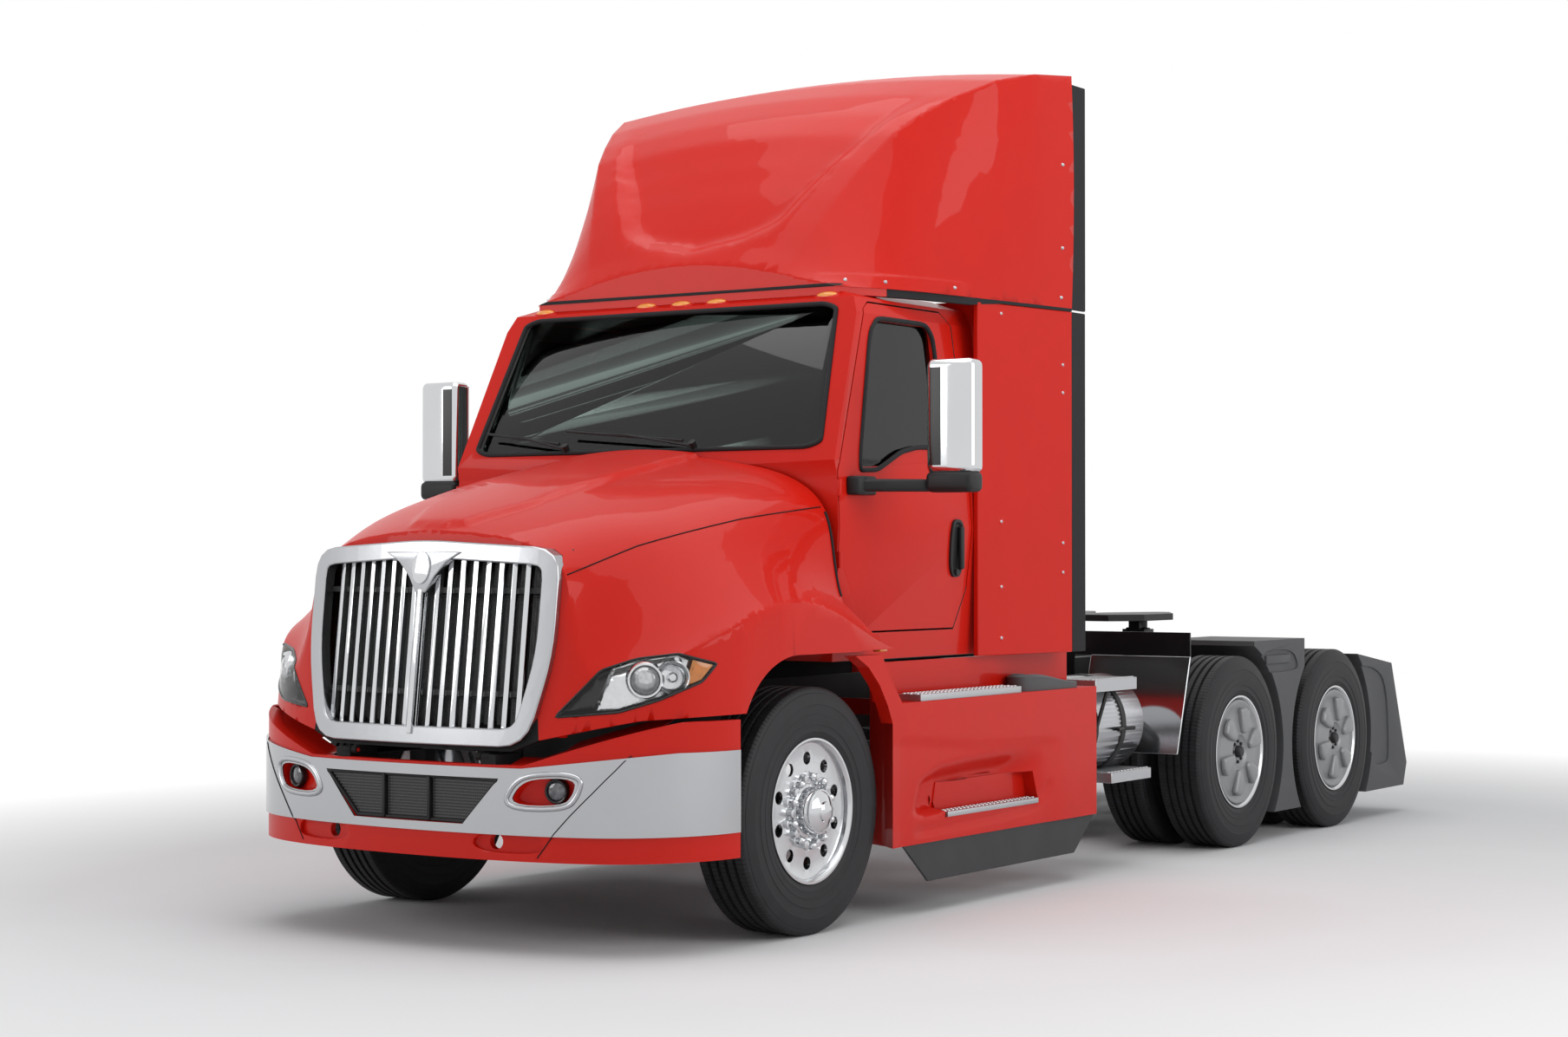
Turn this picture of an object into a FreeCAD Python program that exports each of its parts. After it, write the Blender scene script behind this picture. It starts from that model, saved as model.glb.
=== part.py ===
import FreeCAD, Part
import math
import os

V = FreeCAD.Vector

# Whole truck. X is the truck's left, Y points rearward, Z is up, origin under the middle of the truck.
overall_length = 7800.0
front_overhang = 1225.0
first_axle_spacing = 4100.0
bogie_spacing = 1320.0
body_half_width = 1200.0
tyre_radius = 515.0
running_gap = 5.0
seat_gap = 0.3
cut_overrun = 40.0
corner_shares = (0.0, 0.25, 0.5, 0.75, 1.0)

nose_y = -overall_length / 2
tail_y = overall_length / 2
front_axle_y = nose_y + front_overhang
drive_1_y = front_axle_y + first_axle_spacing
drive_2_y = drive_1_y + bogie_spacing
hub_z = tyre_radius
bogie_y = (drive_1_y + drive_2_y) / 2

# Tyres and rims
tyre_width = 272.0
tyre_bead_radius = 292.0
tyre_bead_width = 222.0
tyre_shoulder_drop = 16.0
tyre_tread_width = 216.0
tyre_wall_bulge_drop = 120.0
rim_width = 250.0
rim_flange_radius = 303.0
rim_well_radius = 272.0
rim_wall = 9.0
rim_disc_thickness = 14.0
rim_lip_width = 12.0
rim_seat_width = 30.0
hand_hole_count = 10
hand_hole_radius = 27.0
hand_hole_circle = 218.0
stud_circle = 143.0
stud_count = 10
nut_radius = 17.0
nut_length = 30.0
hub_bore_radius = 110.0
steer_disc_inset = 32.0
drive_disc_inset = 180.0
hub_cap_radius = 92.0
hub_cap_length = 70.0
dual_spacing = 340.0
steer_tyre_x = 1024.0
drive_outer_x = 1083.0
drive_cover_inset = 46.0

# Steering
kingpin_x = 880.0
kingpin_radius = 24.0
eye_radius = 48.0
eye_height = 110.0
yoke_thickness = 34.0
yoke_gap = 2.0
yoke_web_depth = 36.0
spindle_radius = 40.0
steer_arm_length = 190.0
steer_arm_width = 46.0
steer_arm_thickness = 26.0
tie_rod_radius = 19.0
tie_rod_end_radius = 30.0
ball_pin_radius = 12.0
pin_clearance = 0.3

# Frame
rail_top_z = 1020.0
rail_depth = 266.0
rail_flange = 88.0
rail_web = 9.0
rail_half_gap = 432.0
rail_front_setback = 215.0
rail_rear_setback = 320.0
crossmember_setbacks = (-900.0, 2400.0, 3200.0, 4250.0, 4900.0, 5560.0)
rail_middle_z = rail_top_z - rail_depth / 2
crossmember_depth = 170.0
crossmember_width = 90.0
front_tube_radius = 62.0
differential_radius = 205.0
differential_half_length = 150.0
pinion_radius = 90.0
pinion_length = 300.0
shaft_radius = 55.0
gearbox_rear_setback = 1240.0
engine_front_setback = -760.0
engine_rear_setback = 300.0
gearbox_half_width = 230.0
gearbox_top_z = 1090.0
engine_mount_setback = 200.0
engine_mount_size = 90.0
engine_half_width = 330.0
engine_bottom_z = 760.0
engine_top_z = 1440.0
engine_mid_z = 900.0
radiator_setback = -900.0
radiator_depth = 90.0
radiator_half_width = 425.0
radiator_bottom_z = rail_top_z + seat_gap
radiator_top_z = 1500.0
air_spring_radius = 125.0
air_spring_setback = 330.0
arm_thickness = 90.0
arm_width = 80.0

# Front axle beam
beam_depth = 92.0
beam_height = 96.0
beam_drop = 110.0
beam_bend_x = 560.0
spring_width = 90.0
spring_seat_z = 590.0
leaf_thickness = 22.0
leaf_count = 3
spring_half_length = 640.0
spring_eye_radius = 30.0

# Cab
cab_front_setback = 318.0
cab_floor_z = 1120.0
cab_back_setback = 1600.0
cab_wall = 60.0
cab_sill_inset = 165.0
cab_waist_inset = 132.0
cab_roof_inset = 245.0
cab_sill_half_width = body_half_width - cab_sill_inset
cab_waist_half_width = body_half_width - cab_waist_inset
cab_roof_half_width = body_half_width - cab_roof_inset
cab_waist_z = 1700.0
cab_roof_z = 2765.0
roof_rail_z = 2640.0
roof_corner = 150.0
windshield_foot_z = 1985.0
windshield_foot_setback = 305.0
windshield_head_z = 2715.0
windshield_head_setback = 618.0
roof_brow = 90.0
windshield_margin = 62.0
windshield_foot_half = 992.0
windshield_head_half = 905.0
glass_thickness = 6.0
cab_foot_setbacks = (450.0, 1420.0)
cab_foot_length = 100.0
cab_front_y = front_axle_y + cab_front_setback
cab_back_y = front_axle_y + cab_back_setback
cab_waist_in = 12.0
cab_rail_out = 35.0
rear_window_half_width = 560.0
rear_window_foot_z = 2000.0
rear_window_head_z = 2480.0
glass_setback = 20.0
mirror_inner_x = 1325.0
mirror_outer_x = 1560.0
mirror_setback = 590.0
mirror_depth = 130.0
mirror_foot_z = 1930.0
mirror_head_z = 2420.0
mirror_corner = 34.0
mirror_arm_z = 1845.0
mirror_arm_height = 62.0
mirror_base_length = 170.0
mirror_base_height = 65.0
mirror_base_setback = 390.0

# Doors
door_front_setback = 330.0
door_rear_setback = 1452.0
door_sill_z = 1245.0
door_toe_z = 1400.0
door_toe_length = 225.0
door_belt_z = 1935.0
door_head_z = 2690.0
door_head_front_setback = 655.0
door_head_rear_setback = 1360.0
door_heel_z = 1420.0
door_heel_length = 130.0
door_corner = 60.0
window_foot_z = 1955.0
window_head_z = 2615.0
window_front_foot_setback = 500.0
window_front_head_setback = 705.0
window_rear_setback = 1235.0
window_corner = 50.0
door_gap = 8.0
door_hinge_proud = 2.0
door_hinge_x = cab_waist_half_width + door_hinge_proud
door_hinge_setback = 326.0
door_hinge_radius = 10.0
door_hinge_length = 70.0
door_hinge_heights = (1520.0, 1830.0)

# Hood
hood_wall = 24.0
hood_tail_setback = 577.0
hood_tail_inset = 108.0
hood_tail_foot_z = 1172.0
hood_tail_top = ((292.0, 1376.0), (535.0, 1230.0))
arch_front_setback = -585.0
arch_rear_setback = 535.0
arch_top_z = 1168.0
arch_front_radius = 400.0
arch_rear_radius = 220.0
hood_pivot_setback = -1160.0
hood_pivot_z = 780.0
hood_pin_radius = 8.0
hood_lug_radius = 16.0
hood_lug_width = 25.0
hood_arm_height = 24.0
hood_bar_setback = -1085.0
hood_bar_depth = 30.0
hood_bar_half = 690.0
hood_bar_bottom_z = 862.0
hood_bar_height = 38.0
hood_edge_halves = (480.0, 600.0, 970.0, 1320.0)
hood_edge_heights = (803.0, 850.0, 930.0, 957.0)
hood_station_setbacks = (-1240.0, -1056.0, -780.0, -443.0, -76.0, 292.0, 577.0)
hood_centre_heights = (1590.0, 1690.0, 1790.0, 1885.0, 1960.0, 2030.0, 2060.0)
hood_seam_halves = (600.0, 650.0, 760.0, 870.0, 960.0, 1020.0, 1030.0)
hood_seam_heights = (1440.0, 1500.0, 1600.0, 1680.0, 1735.0, 1762.0, 1770.0)
crest_halves = (640.0, 720.0, 900.0, 1030.0, 1090.0, 1110.0, 1130.0)
crest_heights = (1110.0, 1210.0, 1390.0, 1505.0, 1510.0, 1375.0, 1195.0)
lip_heights = (1000.0, 1060.0, 1180.0, 1290.0, 1320.0, 1230.0, 1176.0)
hood_crown_share = 0.84
hood_overrun = 60.0
hood_base_z = 800.0
nose_plan_shares = (0.0, 0.35, 0.575, 0.7917, 0.9208, 0.9917)
nose_plan_setbacks = (-1190.0, -1160.0, -1110.0, -990.0, -830.0, -560.0)
nose_lean = 105.0
nose_lean_height = 900.0
nose_side_setback = -300.0
arch_diagonal_share = 0.7071
arch_inner_x = 590.0
grille_corners = ((0.0, 1640.0), (652.0, 1604.0), (650.0, 1180.0), (560.0, 820.0))
grille_corner = 120.0
grille_frame_width = 72.0
grille_proud = 26.0
grille_frame_depth = 30.0
bar_count = 17
bar_width = 22.0
bar_depth = 26.0
bar_pitch = 62.0
strap_shares = (0.25, 0.75)

# Bumper
bumper_bottom_z = 378.0
bumper_band_bottom_z = 480.0
bumper_band_top_z = 742.0
bumper_band_end_top_z = 806.0
bumper_centre_top_z = 752.0
bumper_end_top_z = 925.0
bumper_wall = 45.0
bumper_band_thickness = 8.0
bumper_bracket_x = 350.0
bumper_bracket_width = 75.0
bumper_bracket_setback = 50.0
bumper_bracket_bottom_z = 600.0
bumper_bracket_top_z = 790.0
opening_top_half = 460.0
opening_top_z = 700.0
opening_bottom_half = 290.0
opening_bottom_z = 515.0
fog_lamp_x = 686.0
fog_lamp_z = 664.0
fog_lamp_radius = 42.0
fog_lamp_reach = 200.0
fog_lamp_proud = 4.0
fog_lamp_depth = 40.0
bumper_plan_shares = (0.0, 0.35, 0.575, 0.7917, 0.9208, 0.9933)
bumper_plan_setbacks = (0.0, 22.0, 72.0, 185.0, 355.0, 640.0)
bumper_chord_half = 1090.0
bumper_rise_x = 1100.0
bumper_flat_x = 560.0

# Roof fairing
fairing_base_z = cab_roof_z + seat_gap
fairing_rear_setback = 2190.0
fairing_top_z = 3890.0
fairing_crown = 70.0
fairing_wall = 22.0
crease_halves = (560.0, 594.0, 649.0, 706.0, 773.0, 853.0, 915.0, 998.0, 1098.0, 1160.0, 1200.0)
crease_setbacks = (645.0, 712.0, 790.0, 880.0, 987.0, 1117.0, 1247.0, 1417.0, 1644.0, 1900.0, 2190.0)
crease_heights = (2835.0, 2930.0, 3060.0, 3200.0, 3350.0, 3500.0, 3600.0, 3700.0, 3800.0, 3860.0, 3890.0)
fairing_base_halves = (840.0, 880.0, 925.0, 962.0, 997.0, 1028.0, 1052.0, 1083.0, 1122.0, 1160.0, 1200.0)
fairing_side_bow = 12.0

# Side extenders and seals
extender_thickness = 24.0
extender_bottom_z = 1110.0
extender_top_z = 2750.0
seal_width = 140.0
seal_thickness = 14.0

# Skirts, steps and dams
skirt_front_setback = 545.0
skirt_rear_setback = 2440.0
skirt_bottom_z = 312.0
skirt_top_z = 935.0
skirt_wall = 26.0
skirt_depth = 190.0
dam_thickness = 12.0
skirt_corner_x = 1120.0
skirt_wall_top_z = 1105.0
pillar_depth = 60.0
pillar_outline = ((545.0, 850.0), (505.0, 930.0), (440.0, 1020.0), (350.0, 1100.0), (250.0, 1150.0),
                  (457.0, 1150.0), (535.0, 1040.0), (625.0, 934.0))
skirt_corner_setback = 610.0
skirt_inner_setback = 660.0
skirt_arm_setbacks = (1050.0, 1950.0)
skirt_arm_width = 60.0
scoop_depth = 80.0
scoop_wall = 12.0
scoop_height = 120.0
scoop_slope = 40.0
dam_front_setback = 650.0
dam_rear_setback = 2440.0
dam_slope = 210.0
dam_bottom_z = 140.0

# Tanks
tank_radius = 245.0
tank_x = 868.0
tank_z = 720.0
tank_length = 800.0
tank_arm_setback = 250.0
tank_arm_width = 60.0
tank_rear_setback = 3130.0

# Fifth wheel
coupling_plate_top_z = 1240.0
coupling_plate_thickness = 38.0
coupling_half_width = 470.0
coupling_length = 880.0
coupling_setback = 60.0
kingpin_bore_radius = 26.0
coupling_pivot_z = 1130.0
coupling_pivot_radius = 28.0
coupling_y = bogie_y - coupling_setback
throat_rear_half = 200.0
throat_length = 90.0
coupling_horn_width = 90.0
coupling_horn_taper = 330.0
coupling_nose_half = 330.0
coupling_nose_taper = 180.0
coupling_base_half_length = 300.0
coupling_base_thickness = 20.0
bracket_half_length = 60.0
bracket_rise = 20.0
coupling_lug_x = 300.0
coupling_lug_width = 70.0
coupling_lug_radius = 55.0
bracket_thickness = 30.0

# Lamps
lamp_tip_x = 676.0
lamp_tip_setback = -1120.0
lamp_heading_deg = 38.5
lamp_length = 640.0
lamp_foot_z = 941.0
lamp_height = 250.0
lamp_depth = 58.0
lamp_length_shares = (0.0, 0.283, 0.5, 0.757, 1.0, 0.907, 0.64, 0.392)
lamp_height_shares = (0.0, 0.74, 0.92, 1.0, 0.836, 0.556, 0.276, 0.088)
marker_places = (-800.0, -200.0, 0.0, 200.0, 800.0)
marker_setback = 560.0
marker_depth = 110.0
marker_width = 90.0
marker_height = 45.0
marker_z = 2700.0
tail_lamp_length = 150.0
tail_lamp_height = 90.0
tail_lamp_depth = 50.0
tail_lamp_x = 120.0

# Steps
upper_step_front_setback = 784.0
upper_step_rear_setback = 1690.0
lower_step_front_setback = 996.0
lower_step_rear_setback = 1874.0
step_depth = 120.0
step_thickness = 30.0
lower_step_z = 440.0
tank_step_outer_x = 1160.0
tank_steps = ((2510.0, 2960.0, 900.0, 960.0), (2680.0, 3120.0, 440.0, 492.0))

# Exhaust
elbow_radius = 95.0
elbow_bend = 220.0
elbow_turn_deg = 40.0

# Fenders over the drive wheels
fender_clearance_radius = 600.0
fender_inner_x = 620.0
fender_wall = 20.0
fender_arm_width = 50.0
fender_arm_reach_x = 900.0
rear_fender_arm_setback = 6150.0
middle_fender_top_z = 1105.0
middle_fender_foot_z = 150.0
middle_fender_front_setback = 4310.0
middle_fender_rear_setback = 5000.0
rear_fender_top_z = 1000.0
rear_fender_foot_z = 165.0
rear_fender_front_setback = 5720.0
rear_fender_shoulder_setback = 6330.0
rear_fender_shoulder_z = 920.0
rear_fender_tail_z = 300.0
rear_fender_foot_setback = 6520.0
front_fender_top_setback = 3510.0
front_fender_foot_setback = 3340.0
front_fender_top_z = 1045.0
front_fender_foot_z = 545.0
front_fender_thickness = 10.0
fender_bracket_top_z = 1171.0

# Cab interior
dash_depth = 330.0
dash_top_z = 1960.0
dash_foot_z = 1500.0
wheel_ring_radius = 235.0
wheel_ring_section = 16.0
wheel_x = 430.0
wheel_z = 1990.0
wheel_setback = 760.0
wheel_tilt_deg = 35.0
seat_half_width = 250.0
seat_setback = 1080.0
seat_depth = 460.0
seat_z = 1560.0
seat_cushion = 140.0
seat_back_height = 720.0
seat_back_thickness = 130.0
seat_pedestal = 150.0


def box(x0, x1, y0, y1, z0, z1):
    return Part.makeBox(x1 - x0, y1 - y0, z1 - z0, V(x0, y0, z0))


def rod_x(x0, x1, y, z, radius):
    return Part.makeCylinder(radius, x1 - x0, V(x0, y, z), V(1, 0, 0))


def rod_y(x, y0, y1, z, radius):
    return Part.makeCylinder(radius, y1 - y0, V(x, y0, z), V(0, 1, 0))


def rod_z(x, y, z0, z1, radius):
    return Part.makeCylinder(radius, z1 - z0, V(x, y, z0))


def polygon(points):
    return Part.makePolygon(list(points) + [points[0]])


def prism(points, run):
    return Part.Face(polygon(points)).extrude(run)


def side_prism(outline, x0, x1):
    """Solid between x0 and x1 whose outline is given as (y, z) points."""
    return prism([V(x0, y, z) for y, z in outline], V(x1 - x0, 0, 0))


def front_prism(outline, y0, y1):
    """Solid between y0 and y1 whose outline is given as (x, z) points."""
    return prism([V(x, y0, z) for x, z in outline], V(0, y1 - y0, 0))


def plan_prism(outline, z0, z1):
    """Solid between z0 and z1 whose outline is given as (x, y) points."""
    return prism([V(x, y, z0) for x, y in outline], V(0, 0, z1 - z0))


def smooth(points):
    """One smooth edge through the points."""
    curve = Part.BSplineCurve()
    curve.interpolate(points)
    return curve.toShape()


def both_sides(shape):
    """The shape and its mirror image across the truck's middle plane, as one compound of two solids."""
    return Part.makeCompound([shape, mirrored(shape)])


def mirrored(shape):
    return shape.mirror(V(0, 0, 0), V(1, 0, 0))


def fused(shapes):
    body = shapes[0].fuse(list(shapes[1:])) if len(shapes) > 1 else shapes[0]
    return body.removeSplitter()


def rounded(outline, radius):
    """The outline of (u, v) points with every corner turned into a short curve."""
    result = []
    count = len(outline)
    for index in range(count):
        before, corner, after = outline[index - 1], outline[index], outline[(index + 1) % count]
        to_before = (before[0] - corner[0], before[1] - corner[1])
        to_after = (after[0] - corner[0], after[1] - corner[1])
        reach_before = radius / math.hypot(*to_before)
        reach_after = radius / math.hypot(*to_after)
        start = (corner[0] + to_before[0] * reach_before, corner[1] + to_before[1] * reach_before)
        end = (corner[0] + to_after[0] * reach_after, corner[1] + to_after[1] * reach_after)
        for share in corner_shares:
            near, middle, far = (1 - share) ** 2, 2 * share * (1 - share), share ** 2
            result.append((near * start[0] + middle * corner[0] + far * end[0],
                           near * start[1] + middle * corner[1] + far * end[1]))
    return result


def blend(low, high, share):
    return low + (high - low) * share


# Wheels


def tyre(x, y):
    """One tyre as a turned ring."""
    half = tyre_width / 2
    profile = [
        (tyre_bead_radius, tyre_bead_width / 2),
        (tyre_radius - tyre_wall_bulge_drop, half),
        (tyre_radius - tyre_shoulder_drop, (tyre_tread_width + tyre_width) / 4),
        (tyre_radius, tyre_tread_width / 2),
    ]
    points = [V(x + across, y, hub_z + radius) for radius, across in profile]
    points += [V(x - across, y, hub_z + radius) for radius, across in reversed(profile)]
    ring = Part.Face(polygon(points)).revolve(V(x, y, hub_z), V(1, 0, 0), 360)
    return ring


def rim(x, y, disc_inset, outward):
    """One rim: barrel with two lips and a disc set back from the outer lip by disc_inset."""
    half = rim_width / 2
    lip = half - rim_lip_width
    well = half - rim_lip_width - rim_seat_width - rim_wall * 2
    seat_radius = tyre_bead_radius - seat_gap
    seat_end = lip - rim_seat_width
    outer = [(-half, rim_flange_radius), (-lip, seat_radius), (-seat_end, seat_radius),
             (-well, rim_well_radius),
             (well, rim_well_radius), (seat_end, seat_radius), (lip, seat_radius), (half, rim_flange_radius)]
    inner = [(across, radius - rim_wall) for across, radius in reversed(outer)]
    points = [V(x + across, y, hub_z + radius) for across, radius in outer + inner]
    barrel = Part.Face(polygon(points)).revolve(V(x, y, hub_z), V(1, 0, 0), 360)
    face_x = x + outward * (half - disc_inset)
    disc_from = min(face_x, face_x - outward * rim_disc_thickness)
    axis_points = [V(x + half, y, hub_z), V(x - half, y, hub_z)]
    filled = Part.Face(polygon([V(x + across, y, hub_z + radius) for across, radius in outer] + axis_points))
    filled = filled.revolve(V(x, y, hub_z), V(1, 0, 0), 360)
    disc = rod_x(disc_from, disc_from + rim_disc_thickness, y, hub_z, rim_flange_radius).common(filled)
    cuts = [rod_x(disc_from - cut_overrun, disc_from + cut_overrun, y, hub_z, hub_bore_radius)]
    for index in range(hand_hole_count):
        turn = 2 * math.pi * index / hand_hole_count
        cuts.append(rod_x(disc_from - cut_overrun, disc_from + cut_overrun,
                          y + hand_hole_circle * math.sin(turn),
                          hub_z + hand_hole_circle * math.cos(turn), hand_hole_radius))
    return barrel.fuse(disc.cut(cuts))


def wheel_nuts(x, y, outward):
    nuts = []
    for index in range(stud_count):
        turn = 2 * math.pi * (index + 1 / 2) / stud_count
        low = min(x, x + outward * nut_length)
        nuts.append(rod_x(low, low + nut_length, y + stud_circle * math.sin(turn),
                          hub_z + stud_circle * math.cos(turn), nut_radius))
    return nuts


def steer_rim(side):
    x = side * steer_tyre_x
    face_x = x + side * (rim_width / 2 - steer_disc_inset)
    cap_from = min(face_x - side * rim_disc_thickness, face_x + side * hub_cap_length)
    cap = rod_x(cap_from, cap_from + hub_cap_length + rim_disc_thickness, front_axle_y, hub_z, hub_cap_radius)
    ring_from = min(face_x, face_x - side * rim_disc_thickness)
    ring = rod_x(ring_from, ring_from + rim_disc_thickness, front_axle_y, hub_z, hub_bore_radius)
    return fused([rim(x, front_axle_y, steer_disc_inset, side), cap, ring] + wheel_nuts(face_x,
                                                                                        front_axle_y, side))


def drive_rims(side, y):
    outer_x = side * drive_outer_x
    inner_x = side * (drive_outer_x - dual_spacing)
    outer_disc_x = outer_x + side * (rim_width / 2 - drive_disc_inset)
    inner_disc_x = inner_x + side * (rim_width / 2 - steer_disc_inset)
    drum_from, drum_to = sorted((inner_disc_x - side * rim_disc_thickness,
                                 outer_disc_x + side * hub_cap_length))
    drum = rod_x(drum_from, drum_to, y, hub_z, hub_bore_radius)
    cover_x = outer_x + side * (rim_width / 2 - drive_cover_inset)
    cover_from = min(cover_x, cover_x - side * rim_disc_thickness)
    cover = rod_x(cover_from, cover_from + rim_disc_thickness, y, hub_z, rim_flange_radius - 2 * rim_wall)
    cover_boss = rod_x(min(cover_x, outer_disc_x), max(cover_x, outer_disc_x), y, hub_z, hub_cap_radius)
    return fused([rim(outer_x, y, drive_disc_inset, side), rim(inner_x, y, steer_disc_inset, side), drum,
                  cover, cover_boss])


# Front axle, knuckles and tie rod


def front_axle():
    """Forged beam with a dropped middle, an eye at each end and the kingpins."""
    top = hub_z + beam_height / 2
    bottom = hub_z - beam_height / 2
    outline = [
        (-kingpin_x, top), (-beam_bend_x, top - beam_drop), (beam_bend_x, top - beam_drop), (kingpin_x, top),
        (kingpin_x, bottom), (beam_bend_x - beam_height / 2, bottom - beam_drop),
        (beam_height / 2 - beam_bend_x, bottom - beam_drop), (-kingpin_x, bottom),
    ]
    outline = [(x * (kingpin_x - eye_radius / 2) / kingpin_x, z) if abs(x) == kingpin_x else (x, z)
               for x, z in outline]
    beam = front_prism(outline, front_axle_y - beam_depth / 2, front_axle_y + beam_depth / 2)
    pieces = [beam]
    for side in (-1, 1):
        eye = rod_z(side * kingpin_x, front_axle_y, hub_z - eye_height / 2, hub_z + eye_height / 2,
                    eye_radius)
        pin_reach = eye_height / 2 + yoke_gap + yoke_thickness
        pin = rod_z(side * kingpin_x, front_axle_y, hub_z - pin_reach, hub_z + pin_reach, kingpin_radius)
        pieces += [eye, pin]
        pad_x = side * rail_half_gap
        pad = box(pad_x - spring_width / 2, pad_x + spring_width / 2, front_axle_y - beam_depth / 2,
                  front_axle_y + beam_depth / 2, top - beam_drop - beam_height / 2, spring_seat_z)
        pieces.append(pad)
    return fused(pieces)


def knuckle(side):
    """Forked knuckle with its spindle, hub and steering arm."""
    x = side * kingpin_x
    fork_bore = kingpin_radius + pin_clearance
    low_z = hub_z - eye_height / 2 - yoke_gap
    high_z = hub_z + eye_height / 2 + yoke_gap
    web_x = x + side * (eye_radius + running_gap + yoke_web_depth / 2)
    lower = rod_z(x, front_axle_y, low_z - yoke_thickness, low_z, eye_radius)
    upper = rod_z(x, front_axle_y, high_z, high_z + yoke_thickness, eye_radius)
    web = box(web_x - yoke_web_depth / 2, web_x + yoke_web_depth / 2, front_axle_y - eye_radius,
              front_axle_y + eye_radius, low_z - yoke_thickness, high_z + yoke_thickness)
    link_from, link_to = sorted((x, web_x))
    links = [box(link_from, link_to, front_axle_y - eye_radius, front_axle_y + eye_radius,
                 low_z - yoke_thickness, low_z),
             box(link_from, link_to, front_axle_y - eye_radius, front_axle_y + eye_radius, high_z,
                 high_z + yoke_thickness)]
    spindle_from, spindle_to = sorted((web_x, side * (steer_tyre_x + rim_width / 2 - steer_disc_inset
                                                      - rim_disc_thickness) - side * seat_gap))
    spindle = rod_x(spindle_from, spindle_to, front_axle_y, hub_z, spindle_radius)
    arm_z = low_z - yoke_thickness
    arm = box(x - steer_arm_width / 2, x + steer_arm_width / 2, front_axle_y, front_axle_y + steer_arm_length,
              arm_z, arm_z + steer_arm_thickness)
    arm_end = rod_z(x, front_axle_y + steer_arm_length, arm_z, arm_z + steer_arm_thickness,
                    steer_arm_width / 2)
    bores = [rod_z(x, front_axle_y, low_z - cut_overrun - yoke_thickness,
                   high_z + cut_overrun + yoke_thickness, fork_bore),
             rod_z(x, front_axle_y + steer_arm_length, arm_z - cut_overrun, arm_z + cut_overrun,
                   ball_pin_radius + pin_clearance)]
    body = fused([lower, upper, web, spindle, arm, arm_end] + links)
    return body.cut(bores)


def tie_rod():
    """Rod across the truck with a ball pin at each end, under the steering arms."""
    arm_z = hub_z - eye_height / 2 - yoke_gap - yoke_thickness
    y = front_axle_y + steer_arm_length
    z = arm_z - tie_rod_end_radius - yoke_gap
    pieces = [rod_x(-kingpin_x, kingpin_x, y, z, tie_rod_radius)]
    for side in (-1, 1):
        x = side * kingpin_x
        pieces.append(rod_z(x, y, z - tie_rod_end_radius / 2, z + tie_rod_end_radius, tie_rod_end_radius))
        pieces.append(rod_z(x, y, z, arm_z + steer_arm_thickness, ball_pin_radius))
    return fused(pieces)


# Frame and running gear


def frame_rails():
    """Two channel rails with crossmembers between them."""
    front_y = nose_y + rail_front_setback
    rear_y = tail_y - rail_rear_setback
    rail = box(rail_half_gap - rail_flange, rail_half_gap, front_y, rear_y, rail_top_z - rail_depth,
               rail_top_z)
    hollow = box(rail_half_gap - rail_flange - cut_overrun, rail_half_gap - rail_web, front_y - cut_overrun,
                 rear_y + cut_overrun, rail_top_z - rail_depth + rail_web, rail_top_z - rail_web)
    channel = rail.cut(hollow)
    pieces = [channel, mirrored(channel)]
    inside = rail_half_gap - rail_web
    places = [front_axle_y + setback for setback in crossmember_setbacks] + [rear_y - crossmember_width]
    for y in places:
        pieces.append(box(-inside, inside, y, y + crossmember_width, rail_middle_z - crossmember_depth / 2,
                          rail_middle_z + crossmember_depth / 2))
    return fused(pieces)


def drive_axle(y):
    """Axle housing with the differential's bulge and its pinion nose."""
    reach = drive_outer_x - dual_spacing + rim_width / 2 - steer_disc_inset - rim_disc_thickness - seat_gap
    tube = rod_x(-reach, reach, y, hub_z, front_tube_radius)
    bulge = rod_y(0, y - differential_half_length, y + differential_half_length, hub_z, differential_radius)
    nose = rod_y(0, y - pinion_length, y, hub_z, pinion_radius)
    return fused([tube, bulge, nose])


def drive_axles():
    return Part.makeCompound([drive_axle(drive_1_y), drive_axle(drive_2_y)])


def drive_shafts():
    """The main shaft to the first drive axle and the short shaft between the two."""
    start = V(0, front_axle_y + gearbox_rear_setback - running_gap, engine_mid_z)
    end = V(0, drive_1_y - pinion_length - seat_gap, hub_z)
    main_shaft = Part.makeCylinder(shaft_radius, (end - start).Length, start, end - start)
    reach = shaft_radius * 3
    trim = [box(-reach, reach, end.y, end.y + reach, hub_z - reach, hub_z + reach),
            box(-reach, reach, start.y - reach, front_axle_y + gearbox_rear_setback + seat_gap,
                engine_mid_z - reach, engine_mid_z + reach)]
    short_from = drive_1_y + differential_half_length + seat_gap
    short = rod_y(0, short_from, drive_2_y - pinion_length - seat_gap, hub_z, shaft_radius)
    return Part.makeCompound([main_shaft.cut(trim), short])


def engine_block():
    """Engine with its lower gearbox behind, on mounts that reach the rails."""
    y0 = front_axle_y + engine_front_setback
    y1 = front_axle_y + engine_rear_setback
    y2 = front_axle_y + gearbox_rear_setback
    pieces = [box(-engine_half_width, engine_half_width, y0, y1, engine_bottom_z, engine_top_z),
              box(-gearbox_half_width, gearbox_half_width, y1, y2, engine_bottom_z, gearbox_top_z)]
    reach = rail_half_gap - rail_web - seat_gap
    for y in (y0 + engine_mount_setback, y2 - engine_mount_setback):
        pieces.append(box(-reach, reach, y - engine_mount_size / 2, y + engine_mount_size / 2,
                          rail_middle_z - engine_mount_size / 2, rail_middle_z + engine_mount_size / 2))
    return fused(pieces)


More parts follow.
